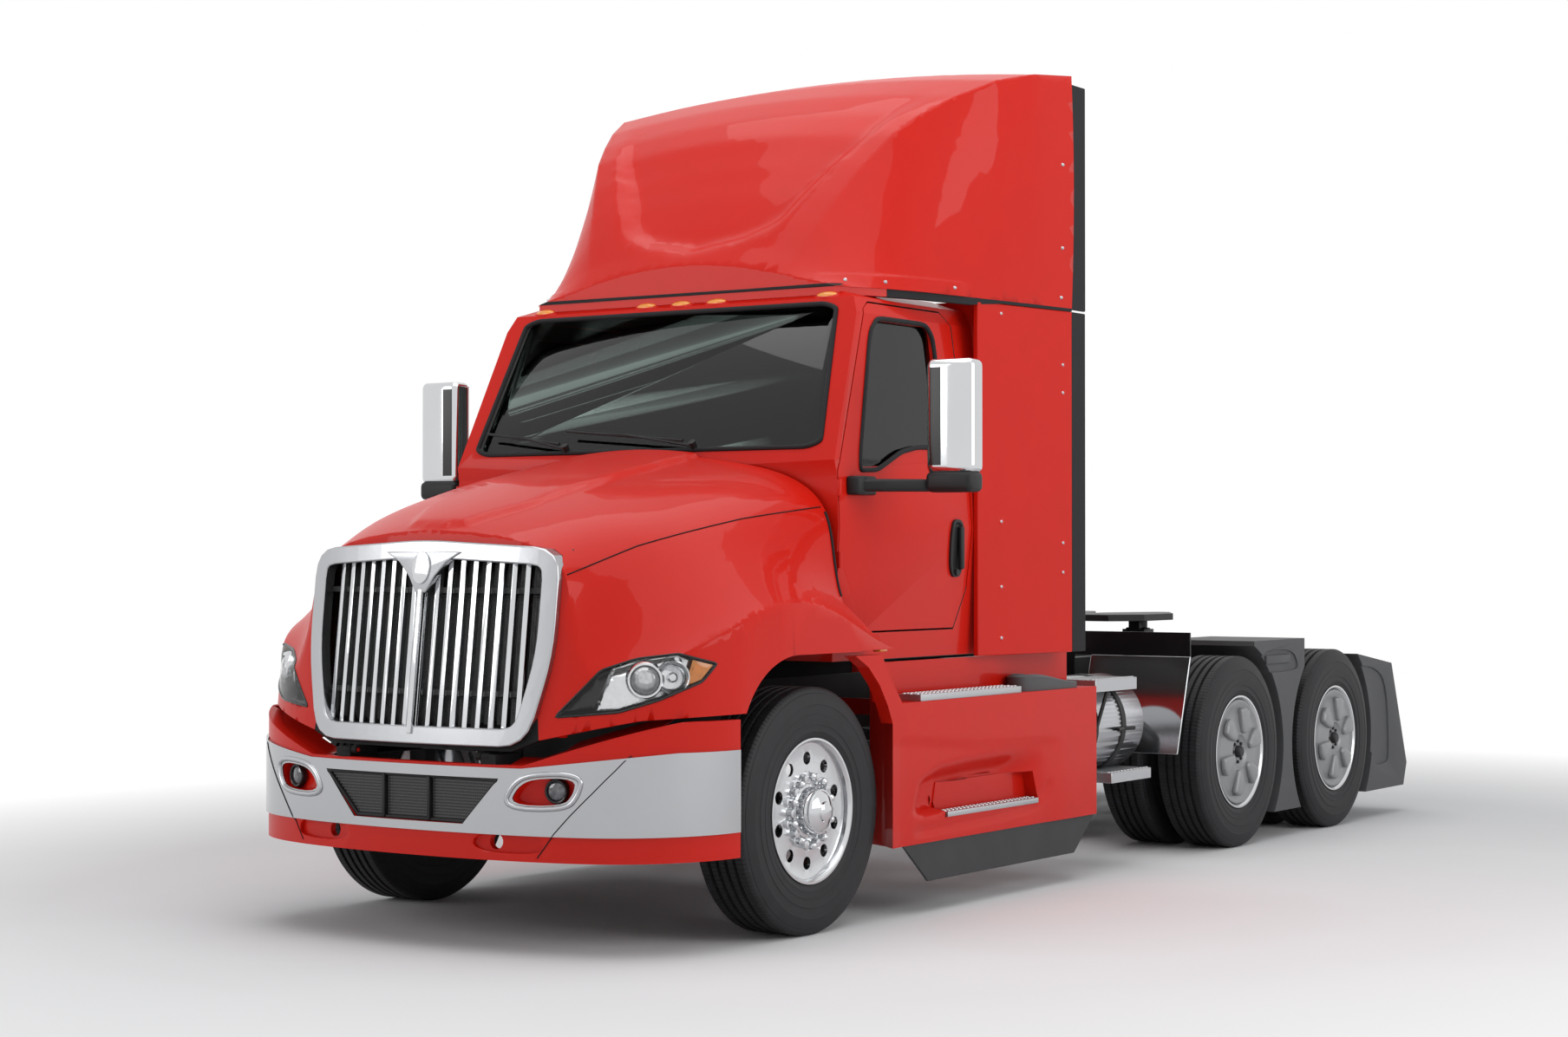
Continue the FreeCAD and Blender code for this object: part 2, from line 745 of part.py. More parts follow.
def radiator():
    y = front_axle_y + radiator_setback
    return box(-radiator_half_width, radiator_half_width, y, y + radiator_depth, radiator_bottom_z,
               radiator_top_z)


def leaf_spring(side):
    """A pack of leaves over the axle, each shorter than the one above, with an eye at each end."""
    x = side * rail_half_gap
    top_z = spring_seat_z + seat_gap + leaf_count * leaf_thickness
    pieces = []
    for index in range(leaf_count):
        half_length = spring_half_length * (leaf_count - index) / leaf_count
        z = top_z - (index + 1) * leaf_thickness
        pieces.append(box(x - spring_width / 2, x + spring_width / 2, front_axle_y - half_length,
                          front_axle_y + half_length, z, z + leaf_thickness))
    for end in (-1, 1):
        y = front_axle_y + end * spring_half_length
        pieces.append(rod_x(x - spring_width / 2, x + spring_width / 2, y, top_z, spring_eye_radius))
        pieces.append(box(x - spring_width / 2, x + spring_width / 2, y - spring_eye_radius,
                          y + spring_eye_radius, top_z, rail_top_z - rail_depth - seat_gap))
    return fused(pieces)


def bogie_arm(side, y):
    """Trailing arm under an axle with its air spring behind, up to the rail."""
    x = side * (rail_half_gap - rail_flange / 2)
    arm_z = hub_z - front_tube_radius - arm_thickness - seat_gap
    arm = box(x - arm_width / 2, x + arm_width / 2, y - air_spring_setback, y + air_spring_setback, arm_z,
              arm_z + arm_thickness)
    spring = rod_z(x, y + air_spring_setback - air_spring_radius / 2, arm_z + arm_thickness,
                   rail_top_z - rail_depth - seat_gap, air_spring_radius)
    hanger = box(x - arm_width / 2, x + arm_width / 2, y - air_spring_setback,
                 y - air_spring_setback + arm_width, arm_z, rail_top_z - rail_depth - seat_gap)
    return fused([arm, spring, hanger])


def suspension():
    parts = []
    for side in (-1, 1):
        parts.append(leaf_spring(side))
        for y in (drive_1_y, drive_2_y):
            parts.append(bogie_arm(side, y))
    return Part.makeCompound(parts)


# Cab


def cab_core(inset):
    """Bar along the truck with the cab's cross-section, smaller all round by the inset."""
    half_outline = [
        (cab_sill_half_width - inset, cab_floor_z + inset),
        (cab_waist_half_width - inset, cab_waist_z),
        (cab_waist_half_width - inset - cab_waist_in, windshield_foot_z),
        (cab_roof_half_width + cab_rail_out - inset, roof_rail_z - inset / 2),
        (cab_roof_half_width - inset, roof_rail_z + roof_corner / 2 - inset / 2),
        (cab_roof_half_width - roof_corner, cab_roof_z - inset),
    ]
    outline = half_outline + [(-x, z) for x, z in reversed(half_outline)]
    return front_prism(outline, cab_front_y - cab_wall * 2, cab_back_y + cut_overrun)


def cab_body(inset):
    """Closed body of the cab, smaller all round by the inset."""
    foot = (front_axle_y + windshield_foot_setback + inset, windshield_foot_z - inset / 2)
    head = (front_axle_y + windshield_head_setback + inset, windshield_head_z - inset)
    side_outline = [
        (cab_front_y + inset, cab_floor_z + inset),
        (cab_front_y + inset, foot[1] - cab_wall),
        foot,
        head,
        (head[0] + roof_brow, cab_roof_z - inset),
        (cab_back_y - roof_corner / 2, cab_roof_z - inset),
        (cab_back_y - inset, cab_roof_z - roof_corner),
        (cab_back_y - inset, cab_floor_z + inset),
    ]
    reach = cab_waist_half_width + cut_overrun
    return side_prism(side_outline, -reach, reach).common(cab_core(inset))


def door_outline(grow):
    """Outline of the door in (y, z), larger all round by grow."""
    y = front_axle_y
    return [
        (y + door_front_setback - grow, door_toe_z),
        (y + door_front_setback + door_toe_length - grow / 2, door_sill_z - grow),
        (y + door_rear_setback - door_heel_length + grow / 2, door_sill_z - grow),
        (y + door_rear_setback - door_corner / 2 + grow, door_heel_z),
        (y + door_rear_setback + grow, cab_waist_z),
        (y + door_head_rear_setback + door_corner / 2 + grow, door_head_z - door_corner),
        (y + door_head_rear_setback - door_corner / 2, door_head_z + grow),
        (y + door_head_front_setback + door_corner, door_head_z + grow),
        (y + door_head_front_setback - grow, door_head_z - door_corner / 2),
        (y + door_front_setback - grow, door_belt_z),
    ]


def window_outline(grow):
    """Outline of the door's window in (y, z), larger all round by grow."""
    y = front_axle_y
    corners = [
        (y + window_front_foot_setback - grow, window_foot_z - grow),
        (y + window_rear_setback + grow, window_foot_z + window_corner - grow),
        (y + window_rear_setback - window_corner / 2 + grow, window_head_z + grow),
        (y + window_front_head_setback - grow, window_head_z + grow),
    ]
    return rounded(corners, window_corner)


def windshield_outline(grow):
    """Outline of the windshield in (x, z), larger all round by grow."""
    foot_z = windshield_foot_z + windshield_margin - grow
    head_z = windshield_head_z - windshield_margin / 2 + grow
    corners = [
        (-windshield_foot_half + windshield_margin / 2 - grow, foot_z),
        (windshield_foot_half - windshield_margin / 2 + grow, foot_z),
        (windshield_head_half - windshield_margin / 2 + grow, head_z),
        (-windshield_head_half + windshield_margin / 2 - grow, head_z),
    ]
    return rounded(corners, window_corner)


def rear_window_outline(grow):
    corners = [
        (-rear_window_half_width - grow, rear_window_foot_z - grow),
        (rear_window_half_width + grow, rear_window_foot_z - grow),
        (rear_window_half_width + grow, rear_window_head_z + grow),
        (-rear_window_half_width - grow, rear_window_head_z + grow),
    ]
    return rounded(corners, window_corner)


def cab_shell():
    """Hollow cab with its openings, the hinge pins of the doors and four feet on the rails."""
    shell = cab_body(0).cut(cab_body(cab_wall))
    reach = cab_waist_half_width + cut_overrun
    doorway = side_prism(door_outline(door_gap), 0, reach).cut(cab_core(cab_wall + door_gap))
    shell = shell.cut([
        doorway, mirrored(doorway),
        front_prism(windshield_outline(0), cab_front_y - cab_wall * 2,
                    front_axle_y + windshield_head_setback + cab_wall * 2),
        front_prism(rear_window_outline(0), cab_back_y - cab_wall * 2, cab_back_y + cut_overrun),
    ])
    pieces = []
    hinge_y = front_axle_y + door_hinge_setback
    for z in door_hinge_heights:
        pieces.append(rod_z(door_hinge_x, hinge_y, z, z + door_hinge_length, door_hinge_radius))
        pieces.append(box(door_hinge_x - 2 * door_hinge_radius, door_hinge_x, cab_front_y, hinge_y, z,
                          z + door_hinge_length))
    for setback in cab_foot_setbacks:
        y = front_axle_y + setback
        pieces.append(box(rail_half_gap - rail_flange, rail_half_gap, y, y + cab_foot_length,
                          rail_top_z + seat_gap, cab_floor_z + running_gap))
    return fused([shell] + pieces + [mirrored(piece) for piece in pieces])


def cab_glass():
    """Windshield and rear window, each a pane inside its opening."""
    pane = cab_body(glass_setback).cut(cab_body(glass_setback + glass_thickness))
    front = pane.common(front_prism(windshield_outline(-seat_gap), cab_front_y - cab_wall * 2,
                                    front_axle_y + windshield_head_setback + cab_wall))
    rear = pane.common(front_prism(rear_window_outline(-seat_gap), cab_back_y - cab_wall * 2,
                                   cab_back_y + cut_overrun))
    return Part.makeCompound([front, rear])


def door(side):
    """Door as thick as the cab's wall, with its window opening and the notches for its hinge pins."""
    reach = cab_waist_half_width + cut_overrun
    panel = cab_body(0).common(side_prism(door_outline(0), 0, reach)).cut(cab_core(cab_wall))
    panel = panel.cut(side_prism(window_outline(0), 0, reach + cut_overrun))
    panel = panel.cut([rod_z(door_hinge_x, front_axle_y + door_hinge_setback, z - seat_gap,
                             z + door_hinge_length + seat_gap, door_hinge_radius + pin_clearance)
                       for z in door_hinge_heights])
    return panel if side > 0 else mirrored(panel)


def door_glass(side):
    pane = cab_core(glass_setback).cut(cab_core(glass_setback + glass_thickness))
    pane = pane.common(side_prism(window_outline(-seat_gap), 0, cab_waist_half_width))
    return pane if side > 0 else mirrored(pane)


def mirror(side):
    """Mirror head on an arm that stands on the door's skin."""
    y = front_axle_y + mirror_setback
    head_plan = rounded([(mirror_inner_x, y), (mirror_outer_x, y), (mirror_outer_x, y + mirror_depth),
                         (mirror_inner_x, y + mirror_depth)], mirror_corner)
    head = plan_prism(head_plan, mirror_foot_z, mirror_head_z)
    base_y = front_axle_y + mirror_base_setback
    root_x = cab_waist_half_width - mirror_corner
    base = box(root_x, cab_waist_half_width + mirror_arm_height, base_y, base_y + mirror_base_length,
               mirror_arm_z, mirror_arm_z + mirror_base_height)
    arm_plan = [(root_x, base_y), (root_x, base_y + mirror_base_length),
                (mirror_outer_x - mirror_corner, y + mirror_depth),
                (mirror_outer_x - mirror_corner, y + mirror_corner)]
    arm = plan_prism(arm_plan, mirror_arm_z, mirror_arm_z + mirror_arm_height)
    post = plan_prism(head_plan, mirror_arm_z, mirror_foot_z + seat_gap)
    body = fused([head, base, arm, post]).cut(cab_body(-seat_gap))
    return body if side > 0 else mirrored(body)


# Hood


def hood_section(y, inset, shares):
    """Closed outline across the hood at a station: crowned top, seam, valley, fender crest and side."""
    centre, seam_x, seam_z, crest_x, crest_z, lip_z = shares
    valley_x = (seam_x + crest_x) / 2
    valley_z = (seam_z + crest_z) / 2
    half = [
        V(0, y, centre - inset),
        V(seam_x / 2, y, blend(seam_z, centre, hood_crown_share) - inset),
        V(seam_x - inset / 2, y, seam_z - inset),
        V(valley_x - inset, y, valley_z - inset / 2),
        V(crest_x - inset / 2, y, crest_z - inset),
        V(body_half_width + hood_overrun - inset, y, lip_z - inset),
    ]
    mirror_half = [V(-p.x, p.y, p.z) for p in reversed(half[1:])]
    top = smooth(mirror_half + half)
    base_z = hood_base_z - cut_overrun
    right, left = half[-1], mirror_half[0]
    walls = [Part.makeLine(right, V(right.x, y, base_z)), Part.makeLine(V(right.x, y, base_z), V(left.x, y,
                                                                                                 base_z)),
             Part.makeLine(V(left.x, y, base_z), left)]
    return Part.Wire([top] + walls)


def nose_plan(inset, z, lean):
    """Plan outline of the front end at a height, from a smooth curve round the nose."""
    right = [V((body_half_width - inset) * share, front_axle_y + y + lean + inset, z)
             for share, y in zip(nose_plan_shares, nose_plan_setbacks)]
    left = [V(-p.x, p.y, z) for p in reversed(right[1:])]
    curve = smooth(left + right)
    rear_y = front_axle_y + hood_tail_setback + cut_overrun
    last_x = body_half_width - inset
    points = [right[-1], V(last_x, front_axle_y + nose_side_setback, z), V(last_x, rear_y, z),
              V(-last_x, rear_y, z), V(-last_x, front_axle_y + nose_side_setback, z), left[0]]
    walls = [Part.makeLine(a, b) for a, b in zip(points[:-1], points[1:])]
    return Part.Wire([curve] + walls)


def nose_body(inset):
    """Solid of the front end's plan, leaning back towards the top."""
    low = nose_plan(inset, hood_base_z - cut_overrun, 0)
    high = nose_plan(inset, hood_base_z + nose_lean_height + nose_lean_height / 2, nose_lean + nose_lean / 2)
    return Part.makeLoft([low, high], True, True)


def hood_body(inset):
    sections = []
    for index, setback in enumerate(hood_station_setbacks):
        values = (hood_centre_heights[index], hood_seam_halves[index], hood_seam_heights[index],
                  crest_halves[index], crest_heights[index], lip_heights[index])
        sections.append(hood_section(front_axle_y + setback, inset, values))
    top = Part.makeLoft(sections, True, False)
    return top.common(nose_body(inset))


def hood_tail_room():
    """Space between the hood's two fender tails, under them, and above them where a door swings out."""
    start = front_axle_y + hood_station_setbacks[-2]
    end = front_axle_y + hood_tail_setback + hood_overrun
    half = body_half_width - hood_tail_inset
    reach = body_half_width + hood_overrun
    low = hood_base_z - cut_overrun * 2
    high = hood_centre_heights[-1] + hood_overrun
    slope = [(front_axle_y + setback, z) for setback, z in hood_tail_top]
    swing = side_prism(slope + [(end, slope[-1][1]), (end, high), (slope[0][0], high)], half, reach)
    return [box(-half, half, start, end, low, high), box(-reach, reach, start, end, low, hood_tail_foot_z),
            swing, mirrored(swing)]


def arch_cut():
    """Wheel arch opening, a rounded box seen from the side, through both fenders."""
    front = front_axle_y + arch_front_setback
    rear = front_axle_y + arch_rear_setback
    low = hood_base_z - cut_overrun * 2
    outline = [V(0, front, low), V(0, front, arch_top_z - arch_front_radius),
               V(0, front + arch_front_radius * (1 - arch_diagonal_share), arch_top_z - arch_front_radius
                 + arch_front_radius * arch_diagonal_share),
               V(0, front + arch_front_radius, arch_top_z), V(0, rear - arch_rear_radius, arch_top_z),
               V(0, rear - arch_rear_radius + arch_rear_radius * arch_diagonal_share,
                 arch_top_z - arch_rear_radius
                 + arch_rear_radius * arch_diagonal_share),
               V(0, rear, arch_top_z - arch_rear_radius), V(0, rear, low)]
    edges = [Part.makeLine(outline[0], outline[1]), Part.Arc(*outline[1:4]).toShape(),
             Part.makeLine(outline[3], outline[4]), Part.Arc(*outline[4:7]).toShape(),
             Part.makeLine(outline[6], outline[7]), Part.makeLine(outline[7], outline[0])]
    face = Part.Face(Part.Wire(edges))
    face.translate(V(arch_inner_x, 0, 0))
    right = face.extrude(V(body_half_width + hood_overrun * 2 - arch_inner_x, 0, 0))
    return [right, mirrored(right)]


def hood_edge_outline():
    """Region below the hood's lower edge in (x, z)."""
    low = hood_base_z - cut_overrun * 2
    half = list(zip(hood_edge_halves, hood_edge_heights))
    left = [(-x, z) for x, z in reversed(half)]
    return [(-hood_edge_halves[-1], low)] + left + half + [(hood_edge_halves[-1], low)]


def hood_shell():
    """Hood and fenders as one moulding, with a crossbar behind the grille that carries two hinge lugs."""
    shell = hood_body(0).cut(hood_body(hood_wall))
    front = front_axle_y + hood_station_setbacks[0] - cut_overrun
    shell = shell.cut(arch_cut() + [
        grille_prism(0, front, front_axle_y + radiator_setback),
        front_prism(hood_edge_outline(), front, front_axle_y + hood_station_setbacks[-2] + cut_overrun),
        lamp_prism(0), mirrored(lamp_prism(0)),
    ] + hood_tail_room())
    pivot_y = front_axle_y + hood_pivot_setback
    x1 = bumper_bracket_x - running_gap
    x0 = x1 - hood_lug_width
    arm_front = pivot_y - hood_lug_radius / 2
    bar_front = front_axle_y + hood_bar_setback
    bar_rear = bar_front + hood_bar_depth
    arm_foot = hood_pivot_z - hood_lug_radius / 2
    arm = side_prism([(arm_front, arm_foot), (bar_rear, arm_foot),
                      (bar_rear, hood_bar_bottom_z + running_gap),
                      (bar_front, hood_bar_bottom_z + running_gap), (bar_front, arm_foot + hood_arm_height),
                      (arm_front, arm_foot + hood_arm_height)], x0, x1)
    lug = fused([rod_x(x0, x1, pivot_y, hood_pivot_z, hood_lug_radius), arm])
    lug = lug.cut(rod_x(x0 - cut_overrun, x1 + cut_overrun, pivot_y, hood_pivot_z,
                        hood_pin_radius + pin_clearance))
    crossbar = box(-hood_bar_half, hood_bar_half, bar_front, bar_rear, hood_bar_bottom_z,
                   hood_bar_bottom_z + hood_bar_height)
    return fused([shell, crossbar, lug, mirrored(lug)])


def grille_prism(grow, y0, y1):
    """Bar along the truck with the grille surround's outline, larger all round by grow."""
    half = list(grille_corners)
    outline = half + [(-x, z) for x, z in reversed(half[1:])]
    face = Part.Face(polygon([V(x, y0, z) for x, z in rounded(outline, grille_corner)]))
    if grow:
        face = Part.Face(face.OuterWire.makeOffset2D(grow))
    return face.extrude(V(0, y1 - y0, 0))


def grille_surround():
    front_y = front_axle_y + hood_station_setbacks[0] - cut_overrun * 2
    rear_y = front_axle_y + radiator_setback
    ring = grille_prism(-seat_gap, front_y, rear_y)
    ring = ring.cut(grille_prism(-grille_frame_width, front_y - cut_overrun, rear_y + cut_overrun))
    return ring.common(nose_body(-grille_proud).cut(nose_body(grille_frame_depth)))


def grille_bars():
    """Upright bars inside the surround, tied by two straps behind them."""
    front_y = front_axle_y + hood_station_setbacks[0] - cut_overrun * 2
    rear_y = front_axle_y + radiator_setback
    half, top_z = grille_corners[1][0], grille_corners[0][1]
    bottom_z = grille_corners[-1][1]
    skin = nose_body(running_gap).cut(nose_body(running_gap + bar_depth))
    strap_skin = nose_body(running_gap + bar_depth / 2).cut(nose_body(running_gap + bar_depth))
    opening = grille_prism(-grille_frame_width - seat_gap, front_y, rear_y)
    uprights = []
    for index in range(bar_count):
        x = (index - (bar_count - 1) / 2) * bar_pitch
        uprights.append(box(x - bar_width / 2, x + bar_width / 2, front_y, rear_y, bottom_z, top_z))
    straps = []
    for share in strap_shares:
        z = blend(bottom_z, top_z, share)
        straps.append(box(-half, half, front_y, rear_y, z - bar_width / 2, z + bar_width / 2))
    return fused([skin.common(opening).common(Part.makeCompound(uprights)),
                  strap_skin.common(opening).common(Part.makeCompound(straps))])


# Bumper


def bumper_plan(inset, z):
    """Plan outline of the bumper at a height: a smooth front and a straight chord behind."""
    right = [V((body_half_width - inset) * share, nose_y + y + inset, z)
             for share, y in zip(bumper_plan_shares, bumper_plan_setbacks)]
    left = [V(-p.x, p.y, z) for p in reversed(right[1:])]
    return Part.Wire([smooth(left + right), Part.makeLine(right[-1], left[0])])


def bumper_body(inset, z0, z1):
    return Part.Face(bumper_plan(inset, z0)).extrude(V(0, 0, z1 - z0))


def fog_lamp_rods(grow):
    """One rod through the bumper each side where a fog lamp sits, thicker by grow."""
    return [rod_y(side * fog_lamp_x, nose_y - cut_overrun, nose_y + fog_lamp_reach, fog_lamp_z,
                  fog_lamp_radius + grow) for side in (-1, 1)]


def bumper_cuts():
    """Openings that go through both the bumper's core and its band."""
    opening = [(-opening_top_half, opening_top_z), (opening_top_half, opening_top_z),
               (opening_bottom_half, opening_bottom_z), (-opening_bottom_half, opening_bottom_z)]
    return [front_prism(opening, nose_y - cut_overrun, nose_y + bumper_plan_setbacks[-3])] + fog_lamp_rods(0)


def bumper():
    """Bumper core: a curved wall, higher at its ends, with arms to the rails and the hood's hinge pins."""
    low = bumper_bottom_z
    high = bumper_end_top_z
    wall = bumper_body(bumper_band_thickness, low, high)
    hollow = bumper_body(bumper_band_thickness + bumper_wall, low - cut_overrun, high + cut_overrun)
    chord = box(-bumper_chord_half, bumper_chord_half, nose_y + bumper_plan_setbacks[-2],
                nose_y + bumper_plan_setbacks[-1] + cut_overrun, low - cut_overrun, high + cut_overrun)
    valley = [(-bumper_rise_x, high + cut_overrun), (-bumper_rise_x, high),
              (-bumper_flat_x, bumper_centre_top_z),
              (bumper_flat_x, bumper_centre_top_z), (bumper_rise_x, high),
              (bumper_rise_x, high + cut_overrun)]
    wall = wall.cut([hollow, chord, front_prism(valley, nose_y - cut_overrun,
                                                nose_y + bumper_plan_setbacks[-1])])
    wall = wall.cut(bumper_cuts())
    arm = box(bumper_bracket_x, bumper_bracket_x + bumper_bracket_width, nose_y + bumper_bracket_setback,
              nose_y + rail_front_setback - seat_gap, bumper_bracket_bottom_z, bumper_bracket_top_z)
    pin = rod_x(bumper_bracket_x - hood_lug_width - 2 * running_gap,
                bumper_bracket_x + bumper_bracket_width / 2,
                front_axle_y + hood_pivot_setback, hood_pivot_z, hood_pin_radius)
    boss = rod_x(bumper_bracket_x, bumper_bracket_x + bumper_bracket_width / 2,
                 front_axle_y + hood_pivot_setback, hood_pivot_z, hood_lug_radius)
    return fused([wall, arm, pin, boss, mirrored(arm), mirrored(pin), mirrored(boss)])


def bumper_band():
    """Bright band wrapped round the bumper core, its top rising to the ends."""
    band = bumper_body(0, bumper_band_bottom_z, bumper_band_end_top_z)
    core = bumper_body(bumper_band_thickness - seat_gap, bumper_band_bottom_z - cut_overrun,
                       bumper_band_end_top_z + cut_overrun)
    high = bumper_band_end_top_z
    valley = [(-bumper_rise_x, high + cut_overrun), (-bumper_rise_x, high),
              (-bumper_flat_x, bumper_band_top_z),
              (bumper_flat_x, bumper_band_top_z), (bumper_rise_x, high), (bumper_rise_x, high + cut_overrun)]
    return band.cut([core, front_prism(valley, nose_y - cut_overrun, nose_y + bumper_plan_setbacks[-1])]
                    + bumper_cuts())


# Roof fairing


def fairing_section(index, inset):
    y = front_axle_y + crease_setbacks[index]
    crease_x = crease_halves[index] - inset
    crease_z = crease_heights[index] - inset
    base_x = fairing_base_halves[index] - inset
    crown_z = crease_z + fairing_crown
    low = fairing_base_z - (cut_overrun if inset else 0)
    top = smooth([V(-crease_x, y, crease_z), V(0, y, crown_z), V(crease_x, y, crease_z)])
    side_mid = V((crease_x + base_x) / 2 + fairing_side_bow, y, (crease_z + low) / 2)
    right = smooth([V(crease_x, y, crease_z), side_mid, V(base_x, y, low)])
    left = smooth([V(-base_x, y, low), V(-side_mid.x, y, side_mid.z), V(-crease_x, y, crease_z)])
    return Part.Wire([top, right, Part.makeLine(V(base_x, y, low), V(-base_x, y, low)), left])


def roof_fairing():
    """Wind deflector: a steep face that turns into the roof, with a crease down each side."""
    outer = Part.makeLoft([fairing_section(i, 0) for i in range(len(crease_halves))], True, True)
    inner = Part.makeLoft([fairing_section(i, fairing_wall) for i in range(len(crease_halves))], True, True)
    inner.translate(V(0, fairing_wall, 0))
    return outer.cut(inner)


# Side extenders, seals, skirts


def extender_panel():
    y0 = front_axle_y + door_rear_setback + door_gap * 2
    y1 = front_axle_y + fairing_rear_setback
    x0 = cab_waist_half_width + seat_gap
    x1 = body_half_width - extender_thickness
    plan = [(x0, y0), (x0 + extender_thickness, y0), (x1 + extender_thickness, y1), (x1, y1)]
    return plan_prism(plan, extender_bottom_z, extender_top_z)


def side_extenders():
    return both_sides(extender_panel())


def rubber_seals():
    """Rubber edges behind the fairing's sides and the extenders."""
    y0 = front_axle_y + fairing_rear_setback + seat_gap
    x1 = body_half_width - seat_gap
    low = box(x1 - seal_thickness, x1, y0, y0 + seal_width, extender_bottom_z, extender_top_z)
    high = box(x1 - seal_thickness, x1, y0, y0 + seal_width, extender_top_z + running_gap * 2,
               fairing_top_z - cut_overrun)
    return Part.makeCompound([both_sides(low), both_sides(high)])


def skirt_panel():
    """Side skirt: outer wall, shelf, ends, arch flange, a wall up to the cab, the lower step's scoop and arms."""
    y = front_axle_y
    x1 = body_half_width
    x0 = x1 - skirt_depth
    plan = [(x1, y + skirt_front_setback), (skirt_corner_x, y + skirt_corner_setback),
            (x0, y + skirt_inner_setback), (x0, y + skirt_rear_setback), (x1, y + skirt_rear_setback)]
    room_plan = [(x1 - skirt_wall, y + skirt_front_setback + skirt_wall * 3 / 2),
                 (skirt_corner_x - skirt_wall / 2, y + skirt_corner_setback + skirt_wall),
                 (x0 - cut_overrun, y + skirt_inner_setback + skirt_wall * 2),
                 (x0 - cut_overrun, y + skirt_rear_setback - skirt_wall),
                 (x1 - skirt_wall, y + skirt_rear_setback - skirt_wall)]
    panel = plan_prism(plan, skirt_bottom_z, skirt_top_z)
    panel = panel.cut(plan_prism(room_plan, skirt_bottom_z - cut_overrun, skirt_top_z - skirt_wall))
    scoop_y0 = y + lower_step_front_setback
    scoop_y1 = y + lower_step_rear_setback
    scoop_top_z = lower_step_z + scoop_height
    pieces = [box(x1 - scoop_depth - scoop_wall, x1, scoop_y0 - scoop_wall, scoop_y1 + scoop_wall,
                  lower_step_z - step_thickness - scoop_wall, scoop_top_z + scoop_wall)]
    pieces.append(side_prism([(y + setback, z) for setback, z in pillar_outline], x1 - pillar_depth, x1))
    pieces.append(box(x0, x0 + skirt_wall, y + skirt_inner_setback, y + skirt_rear_setback,
                      skirt_top_z - skirt_wall, skirt_wall_top_z))
    for setback in skirt_arm_setbacks:
        pieces.append(box(rail_half_gap + seat_gap, x1 - skirt_wall / 2, y + setback,
                          y + setback + skirt_arm_width,
                          skirt_top_z - skirt_wall - skirt_arm_width, skirt_top_z - skirt_wall / 2))
    scoop_low = lower_step_z - step_thickness
    scoop = side_prism([(scoop_y0, scoop_low), (scoop_y1, scoop_low), (scoop_y1 - scoop_slope, scoop_top_z),
                        (scoop_y0 + scoop_slope, scoop_top_z)], x1 - scoop_depth, x1 + cut_overrun)
    tank_front = y + tank_rear_setback - tank_length - running_gap
    tank_room = rod_y(tank_x, tank_front, y + skirt_rear_setback + cut_overrun, tank_z,
                      tank_radius + running_gap)
    return fused([panel] + pieces).cut([scoop, tank_room])


def skirts():
    return both_sides(skirt_panel())


def side_dams():
    """Thin flexible dam under each skirt's outer wall."""
    y = front_axle_y
    top = skirt_bottom_z - seat_gap
    x1 = body_half_width - dam_thickness
    dam = side_prism([(y + dam_front_setback, top), (y + dam_front_setback + dam_slope, dam_bottom_z),
                      (y + dam_rear_setback - dam_slope, dam_bottom_z), (y + dam_rear_setback, top)],
                     x1 - dam_thickness, x1)
    return both_sides(dam)


def tanks():
    """A tank each side behind the cab with two arms to the rail."""
    y1 = front_axle_y + tank_rear_setback
    y0 = y1 - tank_length
    pieces = [rod_y(tank_x, y0, y1, tank_z, tank_radius)]
    for y in (y0 + tank_arm_setback, y1 - tank_arm_setback):
        pieces.append(box(rail_half_gap + seat_gap, tank_x, y - tank_arm_width / 2, y + tank_arm_width / 2,
                          rail_middle_z - tank_arm_width, rail_middle_z))
    return both_sides(fused(pieces))


# Fifth wheel


def fifth_wheel_plate():
    """Coupling plate with its throat and the kingpin's bore, on two pivot lugs."""
    y0 = coupling_y - coupling_length / 2
    y1 = coupling_y + coupling_length / 2
    low = coupling_plate_top_z - coupling_plate_thickness
    horn_half = throat_rear_half + coupling_horn_width
    half = [(coupling_nose_half, y0), (coupling_half_width, y0 + coupling_nose_taper),
            (coupling_half_width, y1 - coupling_horn_taper), (horn_half, y1), (throat_rear_half, y1),
            (kingpin_bore_radius, coupling_y + throat_length), (kingpin_bore_radius, coupling_y)]
    plan = half + [(-x, y) for x, y in reversed(half)]
    plate = plan_prism(plan, low, coupling_plate_top_z)
    plate = plate.cut(rod_z(0, coupling_y, low - cut_overrun, coupling_plate_top_z + cut_overrun,
                            kingpin_bore_radius))
    lugs = []
    for side in (-1, 1):
        x = side * coupling_lug_x
        lugs.append(rod_x(x - coupling_lug_width / 2, x + coupling_lug_width / 2, coupling_y,
                          coupling_pivot_z, coupling_lug_radius))
        lugs.append(box(x - coupling_lug_width / 2, x + coupling_lug_width / 2,
                        coupling_y - coupling_lug_radius,
                        coupling_y + coupling_lug_radius, coupling_pivot_z, low))
    reach = coupling_half_width
    return fused([plate] + lugs).cut(rod_x(-reach, reach, coupling_y, coupling_pivot_z,
                                           coupling_pivot_radius + pin_clearance))


